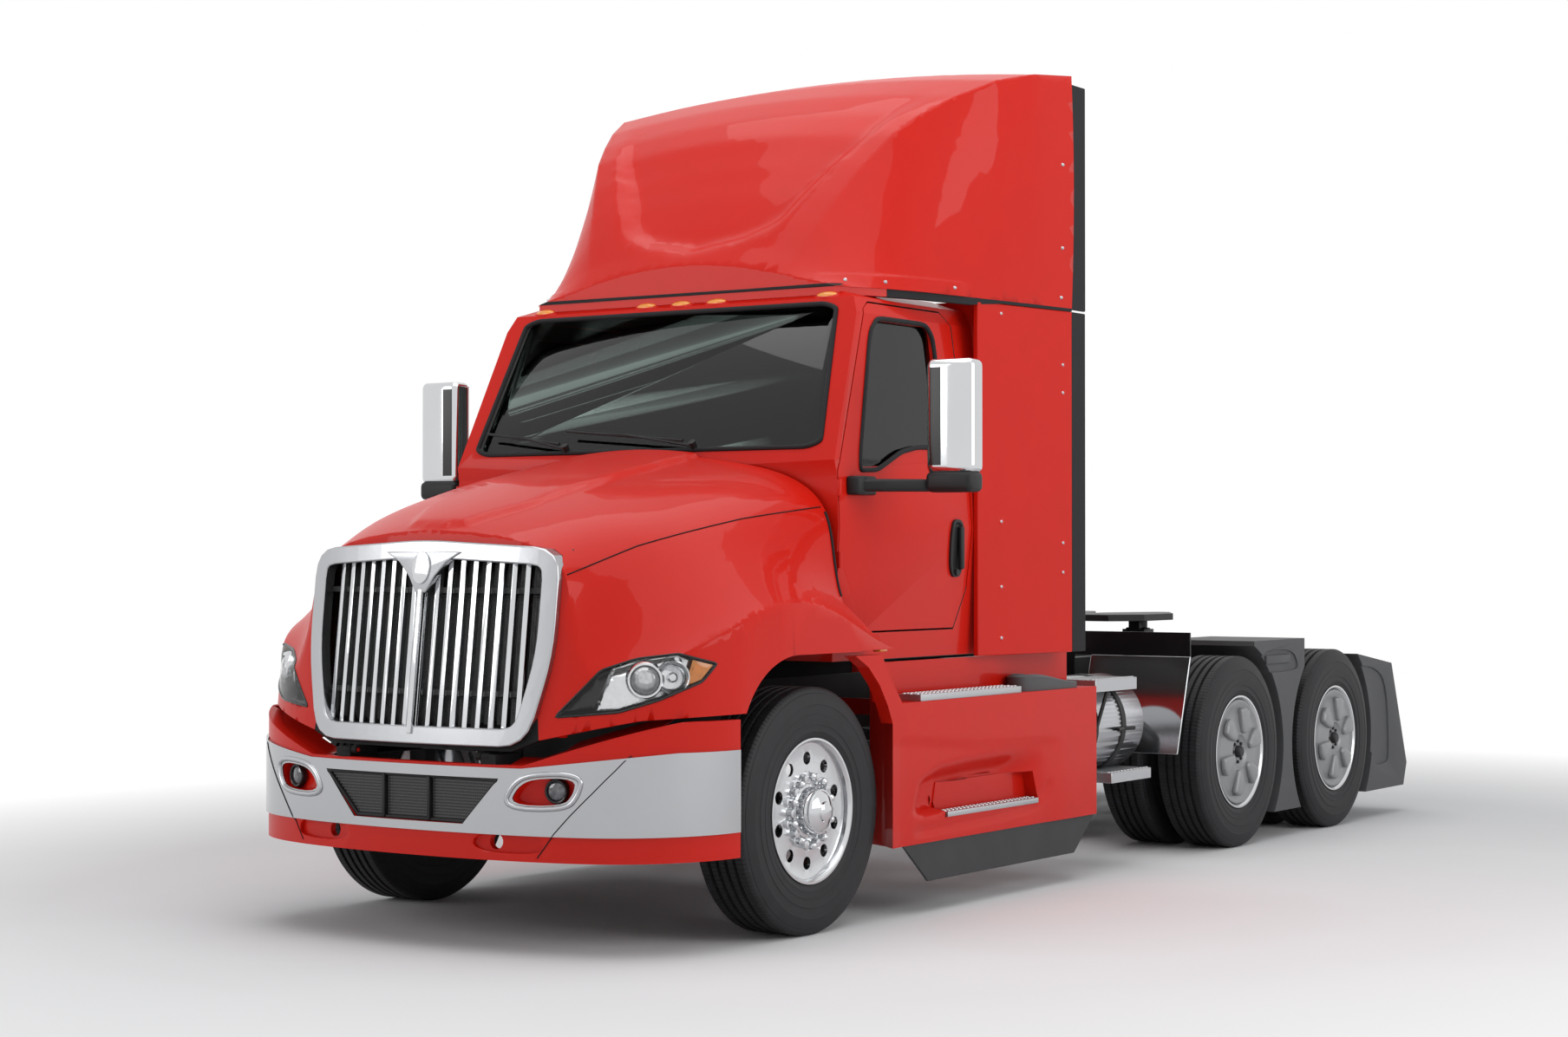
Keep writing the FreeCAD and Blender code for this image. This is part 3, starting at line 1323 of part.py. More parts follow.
def fifth_wheel_mount():
    """Base plate on the rails with brackets and a pin for each lug."""
    low = rail_top_z + seat_gap
    pieces = [box(-rail_half_gap, rail_half_gap, coupling_y - coupling_base_half_length,
                  coupling_y + coupling_base_half_length, low, low + coupling_base_thickness)]
    half = coupling_lug_width / 2 + running_gap
    for side in (-1, 1):
        x = side * coupling_lug_x
        pieces.append(rod_x(x - half - bracket_thickness, x + half + bracket_thickness, coupling_y,
                            coupling_pivot_z, coupling_pivot_radius))
        for face in (x - half - bracket_thickness, x + half):
            pieces.append(box(face, face + bracket_thickness, coupling_y - bracket_half_length,
                              coupling_y + bracket_half_length, low, coupling_pivot_z + bracket_rise))
    return fused(pieces)


# Lamps


def lamp_prism(gap):
    """Solid along the lamp's facing direction with the lamp's outline, smaller by the gap."""
    heading = math.radians(lamp_heading_deg)
    along = V(math.cos(heading), math.sin(heading), 0)
    facing = V(math.sin(heading), -math.cos(heading), 0)
    tip = V(lamp_tip_x, front_axle_y + lamp_tip_setback, lamp_foot_z)
    points = [tip + along * (lamp_length * s) + V(0, 0, lamp_height * h) for s, h in
              zip(lamp_length_shares, lamp_height_shares)]
    wire = polygon(points)
    face = Part.Face(wire)
    if gap:
        face = Part.Face(wire.makeOffset2D(-gap))
    face.translate(facing * lamp_length / 2)
    return face.extrude(facing * -lamp_length)


def headlamps():
    body = hood_body(0).cut(hood_body(lamp_depth)).common(lamp_prism(seat_gap))
    body = max(body.Solids, key=lambda s: s.Volume)
    return both_sides(body)


def tail_lamps():
    """A lamp box each side on the frame's end."""
    y = tail_y - rail_rear_setback + seat_gap
    z = rail_top_z - rail_depth / 2
    lamp = box(tail_lamp_x, tail_lamp_x + tail_lamp_length, y, y + tail_lamp_depth, z - tail_lamp_height / 2,
               z + tail_lamp_height / 2)
    return both_sides(lamp)


# Steps


def step_treads():
    """Treads on the skirt's shelf, in its scoop, and two beside the tank."""
    x1 = body_half_width - running_gap
    y = front_axle_y
    upper = box(x1 - step_depth, x1, y + upper_step_front_setback, y + upper_step_rear_setback,
                skirt_top_z + seat_gap, skirt_top_z + seat_gap + step_thickness)
    lower = box(body_half_width - scoop_depth + seat_gap, x1, y + lower_step_front_setback + scoop_slope / 2,
                y + lower_step_rear_setback - scoop_slope / 2, lower_step_z - step_thickness + seat_gap,
                lower_step_z
                - running_gap)
    tank_body = rod_y(tank_x, y, y + tank_rear_setback, tank_z, tank_radius + seat_gap)
    beside = []
    for front_setback, rear_setback, low, high in tank_steps:
        step = box(tank_x, tank_step_outer_x, y + front_setback, y + rear_setback, low, high)
        beside.append(step.cut(tank_body))
    return Part.makeCompound([both_sides(piece) for piece in [upper, lower] + beside])


# Exhaust


def exhaust_pipes():
    """An elbow behind each tank that turns in towards the frame."""
    start_y = front_axle_y + tank_rear_setback + seat_gap
    end = Part.Face(Part.Wire(Part.makeCircle(elbow_radius, V(tank_x, start_y, tank_z), V(0, 1, 0))))
    return both_sides(end.revolve(V(tank_x - elbow_bend, start_y, tank_z), V(0, 0, 1), elbow_turn_deg))


# Fenders over the drive wheels


def fender_shell(outline, room_outline, arm):
    """Fender moulding with the outline in (y, z), hollow from below and inside, cut round the wheels."""
    reach = body_half_width + cut_overrun
    wells = [rod_x(fender_inner_x - cut_overrun, reach, y, hub_z, fender_clearance_radius)
             for y in (drive_1_y, drive_2_y)]
    humps = [rod_x(fender_inner_x - 2 * cut_overrun, reach, y, hub_z, fender_clearance_radius + fender_wall)
             for y in (drive_1_y, drive_2_y)]
    room = side_prism(room_outline, fender_inner_x - cut_overrun, body_half_width - fender_wall).cut(humps)
    shell = side_prism(outline, fender_inner_x, body_half_width).cut(wells + [room])
    return both_sides(fused([shell, arm]))


def wheel_fenders():
    """Moulded fenders between and behind the drive wheels, each on an arm from the rail."""
    y = front_axle_y
    wall = fender_wall
    y0 = y + middle_fender_front_setback
    y1 = y + middle_fender_rear_setback
    middle = [(y0, middle_fender_foot_z), (y1, middle_fender_foot_z), (y1, middle_fender_top_z),
              (y0, middle_fender_top_z)]
    low = middle_fender_foot_z - cut_overrun
    middle_room = [(y0 + wall, low), (y1 - wall, low), (y1 - wall, middle_fender_top_z - wall),
                   (y0 + wall, middle_fender_top_z - wall)]
    middle_y = (y0 + y1) / 2
    arm_x = rail_half_gap + seat_gap
    middle_arm = box(arm_x, fender_arm_reach_x, middle_y - fender_arm_width / 2,
                     middle_y + fender_arm_width / 2,
                     rail_top_z - fender_arm_width, middle_fender_top_z - wall / 2)
    front = y + rear_fender_front_setback
    shoulder = y + rear_fender_shoulder_setback
    foot = y + rear_fender_foot_setback
    rear = [(front, rear_fender_top_z), (shoulder, rear_fender_shoulder_z), (tail_y, rear_fender_tail_z),
            (foot, rear_fender_foot_z), (front, rear_fender_foot_z)]
    low = rear_fender_foot_z - cut_overrun
    rear_room = [(front + wall, rear_fender_top_z - wall), (shoulder - wall, rear_fender_shoulder_z - wall),
                 (tail_y - wall, rear_fender_tail_z), (foot - wall, low), (front + wall, low)]
    rear_arm_y = y + rear_fender_arm_setback
    rear_arm = box(arm_x, fender_arm_reach_x, rear_arm_y, rear_arm_y + fender_arm_width,
                   rear_fender_shoulder_z - fender_arm_width * 2, rear_fender_shoulder_z)
    return Part.makeCompound([fender_shell(middle, middle_room, middle_arm),
                              fender_shell(rear, rear_room, rear_arm)])


def quarter_fenders():
    """Flat polished fender ahead of the first drive wheels."""
    y = front_axle_y
    sheet = side_prism([
        (y + front_fender_foot_setback, front_fender_foot_z),
        (y + front_fender_foot_setback + front_fender_thickness, front_fender_foot_z),
        (y + front_fender_top_setback, front_fender_top_z),
        (y + front_fender_top_setback - front_fender_thickness, front_fender_top_z),
    ], fender_inner_x, body_half_width)
    return both_sides(sheet)


def fender_brackets():
    """Bare plate above each polished fender with the arm that carries both from the rail."""
    y0 = front_axle_y + front_fender_top_setback - front_fender_thickness
    y1 = y0 + front_fender_thickness
    low = front_fender_top_z + seat_gap
    plate = box(fender_inner_x, body_half_width, y0, y1, low, fender_bracket_top_z)
    arm = box(rail_half_gap + seat_gap, fender_inner_x, y0, y1, low, fender_bracket_top_z)
    foot = box(rail_half_gap + seat_gap, rail_half_gap + rail_flange, y0, y1, rail_middle_z,
               fender_bracket_top_z)
    return both_sides(fused([plate, arm, foot]))


# Cab interior


def dashboard():
    inner_front = cab_front_y + cab_wall + seat_gap
    half = cab_sill_half_width - cab_wall - running_gap
    return box(-half, half, inner_front, inner_front + dash_depth, dash_foot_z, dash_top_z)


def steering_wheel():
    """Ring, spokes and column on the dashboard's left."""
    centre = V(wheel_x, front_axle_y + wheel_setback, wheel_z)
    tilt = math.radians(wheel_tilt_deg)
    axis = V(0, math.cos(tilt), math.sin(tilt))
    ring = Part.makeTorus(wheel_ring_radius, wheel_ring_section, centre, axis)
    hub = Part.makeCylinder(wheel_ring_section * 3, wheel_ring_section * 2,
                            centre - axis * wheel_ring_section * 2, axis)
    across = V(1, 0, 0)
    spokes = Part.makeCylinder(wheel_ring_section / 2, wheel_ring_radius * 2,
                               centre - across * wheel_ring_radius, across)
    dash_y = cab_front_y + cab_wall + seat_gap + dash_depth
    column_length = (centre.y - dash_y) / axis.y
    column = Part.makeCylinder(wheel_ring_section * 2, column_length, centre - axis * column_length, axis)
    trim = box(wheel_x - wheel_ring_radius, wheel_x + wheel_ring_radius, dash_y - wheel_ring_radius,
               dash_y + seat_gap, dash_foot_z, wheel_z + wheel_ring_radius)
    return fused([ring, hub, spokes, column]).cut(trim)


def seat(x):
    y0 = front_axle_y + seat_setback - seat_depth / 2
    cushion = box(x - seat_half_width, x + seat_half_width, y0, y0 + seat_depth, seat_z - seat_cushion,
                  seat_z)
    back = box(x - seat_half_width, x + seat_half_width, y0 + seat_depth - seat_back_thickness,
               y0 + seat_depth, seat_z - seat_cushion, seat_z + seat_back_height)
    base = box(x - seat_pedestal, x + seat_pedestal, y0 + seat_pedestal / 2,
               y0 + seat_depth - seat_pedestal / 2,
               cab_floor_z + cab_wall + seat_gap, seat_z - seat_cushion)
    return fused([cushion, back, base])


def seats():
    return Part.makeCompound([seat(wheel_x), seat(-wheel_x)])


def marker_lamps():
    """Five lamps in a row on the brow over the windshield."""
    y = front_axle_y + marker_setback
    lamps = []
    for x in marker_places:
        lamp = box(x - marker_width / 2, x + marker_width / 2, y, y + marker_depth, marker_z,
                   marker_z + marker_height)
        lamps.append(lamp.cut(cab_body(-seat_gap)))
    return Part.makeCompound(lamps)


def fog_lamps():
    skin = bumper_body(-fog_lamp_proud, bumper_bottom_z, bumper_end_top_z).cut(
        bumper_body(fog_lamp_depth, bumper_bottom_z - cut_overrun, bumper_end_top_z + cut_overrun))
    return Part.makeCompound([skin.common(rod) for rod in fog_lamp_rods(-seat_gap)])


def save(name, shape):
    shape.exportStep(f"parts/{name}.step")
    solids = len(shape.Solids)
    print(f"{name:24s} solids {solids} volume {shape.Volume / 1e6:10.2f} valid {shape.isValid()}")


def main():
    os.makedirs("parts", exist_ok=True)
    pieces = {
        "frame_rails": frame_rails,
        "engine_block": engine_block,
        "radiator": radiator,
        "front_axle": front_axle,
        "drive_axles": drive_axles,
        "drive_shafts": drive_shafts,
        "suspension": suspension,
        "cab_shell": cab_shell,
        "cab_glass": cab_glass,
        "roof_fairing": roof_fairing,
        "side_extenders": side_extenders,
        "rubber_seals": rubber_seals,
        "skirts": skirts,
        "side_dams": side_dams,
        "tanks": tanks,
        "bumper": bumper,
        "bumper_band": bumper_band,
        "hood_shell": hood_shell,
        "grille_surround": grille_surround,
        "grille_bars": grille_bars,
        "headlamps": headlamps,
        "marker_lamps": marker_lamps,
        "fog_lamps": fog_lamps,
        "tail_lamps": tail_lamps,
        "step_treads": step_treads,
        "exhaust_pipes": exhaust_pipes,
        "wheel_fenders": wheel_fenders,
        "quarter_fenders": quarter_fenders,
        "fender_brackets": fender_brackets,
        "dashboard": dashboard,
        "steering_wheel": steering_wheel,
        "seats": seats,
        "tie_rod": tie_rod,
        "fifth_wheel_mount": fifth_wheel_mount,
        "fifth_wheel_plate": fifth_wheel_plate,
    }
    for name, make in pieces.items():
        save(name, make())
    for side, word in ((1, "left"), (-1, "right")):
        save(f"door_{word}", door(side))
        save(f"door_glass_{word}", door_glass(side))
        save(f"mirror_{word}", mirror(side))
        save(f"knuckle_{word}", knuckle(side))
        save(f"tyre_front_{word}", tyre(side * steer_tyre_x, front_axle_y))
        save(f"rim_front_{word}", steer_rim(side))
        for number, y in ((1, drive_1_y), (2, drive_2_y)):
            inner_x = side * (drive_outer_x - dual_spacing)
            pair = Part.makeCompound([tyre(side * drive_outer_x, y), tyre(inner_x, y)])
            save(f"tyres_drive_{number}_{word}", pair)
            save(f"rims_drive_{number}_{word}", drive_rims(side, y))


main()
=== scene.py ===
"""Finishes and detail pieces of a red day-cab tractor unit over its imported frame, laid out as an add-on."""

import math

import bmesh
import bpy
from bpy.props import FloatProperty, FloatVectorProperty, IntProperty, PointerProperty
from mathutils import Matrix, Vector
from mathutils.bvhtree import BVHTree
from mathutils.geometry import intersect_point_line


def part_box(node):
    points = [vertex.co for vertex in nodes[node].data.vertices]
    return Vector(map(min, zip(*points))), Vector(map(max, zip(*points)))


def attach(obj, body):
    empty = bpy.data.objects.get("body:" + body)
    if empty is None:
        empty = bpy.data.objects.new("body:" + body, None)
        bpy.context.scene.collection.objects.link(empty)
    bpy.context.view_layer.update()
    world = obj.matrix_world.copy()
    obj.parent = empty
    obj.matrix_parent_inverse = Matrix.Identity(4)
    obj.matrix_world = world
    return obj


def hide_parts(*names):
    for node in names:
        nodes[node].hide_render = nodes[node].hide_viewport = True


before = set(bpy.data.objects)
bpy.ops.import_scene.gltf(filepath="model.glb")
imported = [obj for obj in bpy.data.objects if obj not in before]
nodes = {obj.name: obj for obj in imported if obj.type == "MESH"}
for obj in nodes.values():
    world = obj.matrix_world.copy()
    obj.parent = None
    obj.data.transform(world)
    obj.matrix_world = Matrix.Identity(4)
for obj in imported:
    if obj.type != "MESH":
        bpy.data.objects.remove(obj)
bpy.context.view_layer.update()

bl_info = {
    "name": "Day-cab Tractor Unit",
    "version": (1, 0, 0),
    "blender": (4, 5, 0),
    "location": "View3D > Sidebar > Tractor",
    "description": "Dresses the tractor unit's frame with paint, bright metal, glass, rubber and small parts",
    "category": "Object",
}

front_axle = -2.675
hub_height = 0.515
drive_centres = {1: 1.425, 2: 2.745}
front_wheel_x, outer_wheel_x, inner_wheel_x = 1.024, 1.083, 0.743
rim_lip = 0.125
bumper_front = -3.900
hands = (("left", 1), ("right", -1))


# Colours and sizes a user would change


def colour(name, description, default):
    return FloatVectorProperty(name=name, description=description, subtype="COLOR", size=3, min=0.0, max=1.0,
                               default=default)


def length(name, description, default):
    return FloatProperty(name=name, description=description, unit="LENGTH", min=0.0, default=default)


class TractorColours(bpy.types.PropertyGroup):
    """Colours of the finishes"""

    paint: colour("Paint", "Body paint of cab, hood and fairing", (0.60, 0.011, 0.004))
    satin: colour("Satin metal", "Grille surround and bumper band", (0.43, 0.435, 0.45))
    polished: colour("Polished metal", "Front wheels, mirrors and bars", (0.62, 0.63, 0.645))
    frame_black: colour("Frame black", "Rails, axles and coupling", (0.016, 0.016, 0.017))
    fender_grey: colour("Fender grey", "Moulded drive wheel fenders", (0.085, 0.086, 0.090))
    trim_black: colour("Trim black", "Moulded trim, bezels and mirror arms", (0.014, 0.014, 0.015))
    tyre_black: colour("Tyre rubber", "Tyres", (0.014, 0.014, 0.016))
    amber: colour("Amber", "Marker lenses and turn lamps", (0.85, 0.30, 0.03))
    lamp_red: colour("Red lens", "Tail lamps", (0.45, 0.01, 0.01))
    glass_tint: colour("Glass tint", "Cab windows", (0.40, 0.46, 0.44))


class TractorSizes(bpy.types.PropertyGroup):
    """Sizes of the small parts"""

    rivet_radius: length("Rivet radius", "Screws that hold the side panels", 0.011)
    seal_width: length("Seal width", "Rubber seal round each door window", 0.022)
    rib_grooves: IntProperty(name="Tread grooves", description="Grooves round each tyre", min=2, max=6, default=4)


def colours():
    return bpy.context.scene.tractor_colours


def sizes():
    return bpy.context.scene.tractor_sizes


# Finishes


def node_tree(name):
    finish = bpy.data.materials.new(name)
    finish.use_nodes = True
    tree = finish.node_tree
    return finish, tree, tree.nodes["Principled BSDF"]


def feed(tree, node, inputs):
    """Sets the node's inputs, or links those whose value is an output."""
    for name, value in inputs.items():
        if isinstance(value, bpy.types.NodeSocket):
            tree.links.new(value, node.inputs[name])
        else:
            node.inputs[name].default_value = value


def wired(tree, kind, inputs=None, **settings):
    node = tree.nodes.new("ShaderNode" + kind)
    for name, value in settings.items():
        setattr(node, name, value)
    feed(tree, node, inputs or {})
    return node


def own_place(tree, mapping=None, **settings):
    """The piece's own coordinates, mapped."""
    place = wired(tree, "TexCoord").outputs["Object"]
    return wired(tree, "Mapping", {"Vector": place, **(mapping or {})}, **settings).outputs["Vector"]


def object_noise(tree, scale, detail=4.0, stretch=(1.0, 1.0, 1.0)):
    place = own_place(tree, {"Scale": stretch})
    return wired(tree, "TexNoise", {"Vector": place, "Scale": scale, "Detail": detail}).outputs["Fac"]


def ramp(tree, source, low, high, start=0.3, end=0.7):
    """Colour ramp between two colours driven by a value."""
    node = wired(tree, "ValToRGB", {"Fac": source})
    for element, place, channels in zip(node.color_ramp.elements, (start, end), (low, high)):
        element.position = place
        element.color = (*channels, 1.0)
    return node.outputs["Color"]


def spread(tree, source, low, high):
    """The value's 0 to 1 stretched to low to high."""
    return wired(tree, "MapRange", {"Value": source, "To Min": low, "To Max": high}).outputs["Result"]


def maths(tree, operation, first, second):
    return wired(tree, "Math", {0: first, 1: second}, operation=operation).outputs["Value"]


def blend(tree, share, first, second, end):
    """Two shaders mixed by a share, linked to the surface of the tree's end."""
    mix = wired(tree, "MixShader", {"Fac": share, 1: first, 2: second})
    feed(tree, tree.nodes[end], {"Surface": mix.outputs["Shader"]})


def bump(tree, shader, source, strength, distance):
    relief = wired(tree, "Bump", {"Height": source, "Strength": strength, "Distance": distance})
    feed(tree, shader, {"Normal": relief.outputs["Normal"]})


def tint(base, factor):
    return tuple(min(1.0, channel * factor) for channel in base)


def varied(name, base, roughness, metallic=0.0, variation=0.08, scale=6.0, grain=0.0, grain_scale=900.0,
           stretch=(1.0, 1.0, 1.0), coat=0.0, drift_roughness=0.06, specular=0.25):
    """Finish whose colour and roughness drift slightly, with a fine grain where it has one."""
    finish, tree, shader = node_tree(name)
    drift = object_noise(tree, scale, 5.0, stretch)
    feed(tree, shader, {
        "Base Color": ramp(tree, drift, tint(base, 1.0 - variation), tint(base, 1.0 + variation)),
        "Roughness": spread(tree, drift, max(0.02, roughness - drift_roughness), roughness + drift_roughness),
        "Metallic": metallic, "Coat Weight": coat, "Coat Roughness": 0.03, "Specular IOR Level": specular})
    if grain:
        bump(tree, shader, object_noise(tree, grain_scale, 2.0, stretch), grain, 0.001)
    return finish


def clear_glass(name, base, thin):
    """Thin pane: mostly see-through, with gloss from a Fresnel edge."""
    finish, tree, shader = node_tree(name)
    tree.nodes.remove(shader)
    colour_drift = ramp(tree, object_noise(tree, 1.5, 2.0), tint(base, 0.94), tint(base, 1.06))
    through = wired(tree, "BsdfTransparent", {"Color": colour_drift})
    gloss = wired(tree, "BsdfGlossy", {"Roughness": 0.02, "Color": (0.9, 0.9, 0.9, 1.0)})
    edge = wired(tree, "Fresnel", {"IOR": 1.0 + thin})
    blend(tree, edge.outputs["Fac"], through.outputs["BSDF"], gloss.outputs["BSDF"], "Material Output")
    return finish


def perforated(name, base, pitch, metallic=0.85):
    """Metal with rows of round holes that are not cut but painted near black, as painted shade seen through them.
    """
    finish, tree, shader = node_tree(name)
    place = wired(tree, "TexCoord").outputs["Object"]
    holes = wired(tree, "TexVoronoi", {"Vector": place, "Scale": 1.0 / pitch, "Randomness": 0.0})
    cells = holes.outputs["Distance"]
    # painted shade: the hole centres are darkened to 8 per cent of the metal for the shade seen through the holes
    feed(tree, shader, {"Base Color": ramp(tree, cells, tint(base, 0.08), base, 0.30, 0.42), "Metallic": metallic,
                        "Roughness": spread(tree, object_noise(tree, 60.0), 0.28, 0.42)})
    bump(tree, shader, cells, 0.5, 0.004)
    return finish


def tread_rubber(name, base, centre_y):
    """Tyre rubber with fine cross cuts round the tread, measured as an angle about the wheel's axle."""
    finish, tree, shader = node_tree(name)
    about = own_place(tree, {"Location": (-hub_height, -centre_y, 0.0), "Rotation": (0.0, math.pi / 2, 0.0)})
    angle = wired(tree, "TexGradient", {"Vector": about}, gradient_type="RADIAL").outputs["Fac"]
    wave = maths(tree, "PINGPONG", maths(tree, "MULTIPLY", angle, 160.0), 0.5)
    groove = ramp(tree, wave, (0.0, 0.0, 0.0), (1.0, 1.0, 1.0), 0.06, 0.16)
    flat = wired(tree, "VectorMath", {0: about, 1: (1.0, 1.0, 0.0)}, operation="MULTIPLY").outputs["Vector"]
    radius = wired(tree, "VectorMath", {0: flat}, operation="LENGTH").outputs["Value"]
    depth = maths(tree, "MAXIMUM", groove, maths(tree, "LESS_THAN", radius, 0.503))
    drift = object_noise(tree, 14.0, 6.0)
    feed(tree, shader, {"Base Color": ramp(tree, drift, tint(base, 0.8), tint(base, 1.35)),
                        "Roughness": spread(tree, drift, 0.48, 0.66), "Specular IOR Level": 0.3})
    bump(tree, shader, depth, 0.8, 0.006)
    return finish


finishes = {}


def make_finishes():
    c = colours()
    finishes.update(
        paint=varied("paint", c.paint, 0.42, coat=0.24, variation=0.02, drift_roughness=0.02, specular=0.1),
        satin=varied("satin_metal", c.satin, 0.24, 1.0, 0.02, 3.0, 0.02, 700.0, drift_roughness=0.02),
        polished=varied("polished_metal", c.polished, 0.08, 1.0, 0.02, 3.0, drift_roughness=0.02),
        wheel_metal=varied("wheel_metal", tint(c.polished, 0.98), 0.2, 1.0, 0.02, 8.0, 0.03, 800.0,
                    drift_roughness=0.02),
        aluminium=varied("brushed_aluminium", tint(c.satin, 1.1), 0.36, 0.9, 0.04, 20.0, 0.06, 500.0,
                    (1.0, 12.0, 12.0)),
        tank_metal=varied("tank_metal", tint(c.satin, 1.05), 0.25, 1.0, 0.015, 7.0, 0.03, 420.0, (9.0, 1.0, 9.0),
                    drift_roughness=0.015),
        frame_black=varied("frame_black", c.frame_black, 0.42, variation=0.3, grain=0.12, grain_scale=320.0),
        dark_steel=varied("dark_steel", tint(c.frame_black, 2.6), 0.5, 0.6, 0.25, 8.0, 0.2, 240.0),
        fender_grey=varied("fender_grey", c.fender_grey, 0.55, variation=0.07, grain=0.25, grain_scale=1100.0),
        cover_silver=varied("cover_silver", (0.3, 0.305, 0.31), 0.42, 0.35, 0.05, 9.0),
        trim_black=varied("trim_black", c.trim_black, 0.45, variation=0.15, grain=0.15, grain_scale=900.0),
        rubber=varied("rubber", tint(c.tyre_black, 0.9), 0.7, variation=0.2, grain=0.2, grain_scale=500.0),
        dam_grey=varied("dam_rubber", tint(c.fender_grey, 0.55), 0.6, variation=0.12, grain=0.2, grain_scale=500.0),
        cab_inside=varied("cab_inside", (0.075, 0.085, 0.082), 0.75, variation=0.05),
        amber=varied("amber_lens", c.amber, 0.12, variation=0.12, scale=60.0, coat=0.8, grain=0.3,
                    grain_scale=160.0),
        red_lens=varied("red_lens", c.lamp_red, 0.15, variation=0.1, scale=60.0, coat=0.8, grain=0.3,
                    grain_scale=160.0),
        bowl=varied("lamp_bowl", (0.62, 0.63, 0.64), 0.16, 1.0, 0.05, 40.0, 0.5, 90.0),
        lens=varied("lamp_lens", (0.55, 0.56, 0.57), 0.06, 0.25, 0.18, 70.0, coat=1.0),
        lens_dark=varied("fog_lens", (0.1, 0.1, 0.11), 0.08, 0.6, 0.5, 60.0, coat=1.0),
        gloss_black=varied("gloss_black", tint(c.trim_black, 0.8), 0.16, variation=0.1, drift_roughness=0.03,
                    specular=0.35),
        gap_black=varied("gap_black", (0.004, 0.003, 0.003), 0.8, variation=0.1),
        underbody=varied("underbody", (0.006, 0.006, 0.006), 0.75, variation=0.2, grain=0.2, grain_scale=300.0),
        mirror_glass=varied("mirror_glass", (0.55, 0.57, 0.6), 0.03, 1.0, 0.02, 2.0, drift_roughness=0.01),
        rear_pane=clear_glass("rear_pane", tint(c.glass_tint, 0.25), thin=0.45),
        pane=clear_glass("window_pane", c.glass_tint, thin=0.45),
        lamp_cover=clear_glass("lamp_cover", (0.96, 0.97, 0.98), thin=0.35),
        treads=perforated("step_tread", tint(c.satin, 1.1), 0.024),
        mesh=perforated("intake_mesh", (0.018, 0.018, 0.019), 0.012, 0.1),
        grille_dark=perforated("grille_screen_mesh", (0.01, 0.01, 0.01), 0.01, 0.0),
        fabric=varied("seat_fabric", (0.11, 0.11, 0.115), 0.85, variation=0.2, scale=40.0, grain=0.6,
                    grain_scale=1300.0),
        tyre_front=tread_rubber("tyre_front_rubber", c.tyre_black, front_axle),
        tyre_drive_1=tread_rubber("tyre_drive_1_rubber", c.tyre_black, drive_centres[1]),
        tyre_drive_2=tread_rubber("tyre_drive_2_rubber", c.tyre_black, drive_centres[2]),
    )


# Shared shaping


def setback(distance):
    """Place along the truck, measured back from the front axle."""
    return front_axle + distance


def placed(name, shape):
    """Object at the origin made from the bmesh."""
    mesh = bpy.data.meshes.new(name)
    shape.to_mesh(mesh)
    shape.free()
    piece = bpy.data.objects.new(name, mesh)
    bpy.context.scene.collection.objects.link(piece)
    return piece


def add_piece(name, shape, finish, body="chassis", replaced=None, crease=35.0, edge=0.0, segments=2,
              angle=40.0):
    """Finished piece, smooth but for edges sharper than the crease angle, bevelled where an edge width is given."""
    piece = placed(name, shape)
    names = finish if isinstance(finish, tuple) else (finish,)
    for item in names:
        piece.data.materials.append(finishes[item])
    piece.data.shade_smooth()
    piece.data.set_sharp_from_angle(angle=math.radians(crease))
    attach(piece, body)
    if replaced:
        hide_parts(replaced)
    if edge:
        rounding = piece.modifiers.new("rounding", "BEVEL")
        rounding.width = edge
        rounding.segments = segments
        rounding.limit_method = "ANGLE"
        rounding.angle_limit = math.radians(angle)
        rounding.harden_normals = False
    return piece


def merged_copy(node):
    """The CAD node's mesh as a bmesh with its loose triangles joined."""
    shape = bmesh.new()
    shape.from_mesh(nodes[node].data)
    bmesh.ops.remove_doubles(shape, verts=shape.verts, dist=2e-5)
    return shape


def skin(node, finish, body="chassis", crease=30.0, edge=0.0):
    """Smooth-shaded copy of a CAD node in its place."""
    return add_piece(node + "_skin", merged_copy(node), finish, body, node, crease, edge)


def everything(shape):
    return shape.verts[:] + shape.edges[:] + shape.faces[:]


def only_verts(items):
    return [item for item in items if isinstance(item, bmesh.types.BMVert)]


def verts_of(faces):
    return list(dict.fromkeys(vert for face in faces for vert in face.verts))


def bevelled(shape, verts, edge, segments):
    """Rounds the edges that meet the vertices, where an edge width is given."""
    if edge:
        edges = list(dict.fromkeys(e for v in verts for e in v.link_edges))
        bmesh.ops.bevel(shape, geom=edges, offset=edge, segments=segments, profile=0.5, affect="EDGES", material=-1)


def box_shape(shape, low, high, edge=0.0, segments=2):
    """Block between two corners with rounded edges, added to the bmesh."""
    verts = bmesh.ops.create_cube(shape, size=1.0)["verts"]
    bmesh.ops.scale(shape, vec=[b - a for a, b in zip(low, high)], verts=verts)
    bmesh.ops.translate(shape, vec=[(a + b) / 2 for a, b in zip(low, high)], verts=verts)
    bevelled(shape, verts, edge, segments)


def outward(shape):
    bmesh.ops.recalc_face_normals(shape, faces=shape.faces)
    return shape


def plate_shape(shape, points, push, edge=0.0, segments=2):
    """Flat outline of 3-D points given thickness along push."""
    verts = [shape.verts.new(p) for p in points]
    face = shape.faces.new(verts)
    moved = only_verts(bmesh.ops.extrude_face_region(shape, geom=[face])["geom"])
    bmesh.ops.translate(shape, vec=push, verts=moved)
    bevelled(shape, verts + moved, edge, segments)


def rod_shape(shape, start, end, radius, sides=20, tip=None):
    """Round bar between two points."""
    start, end = Vector(start), Vector(end)
    run = end - start
    turn = run.to_track_quat("Z", "Y").to_matrix().to_4x4()
    tip = radius if tip is None else tip
    bmesh.ops.create_cone(shape, cap_ends=True, segments=sides, radius1=radius, radius2=tip, depth=run.length,
                          matrix=Matrix.Translation((start + end) / 2) @ turn)


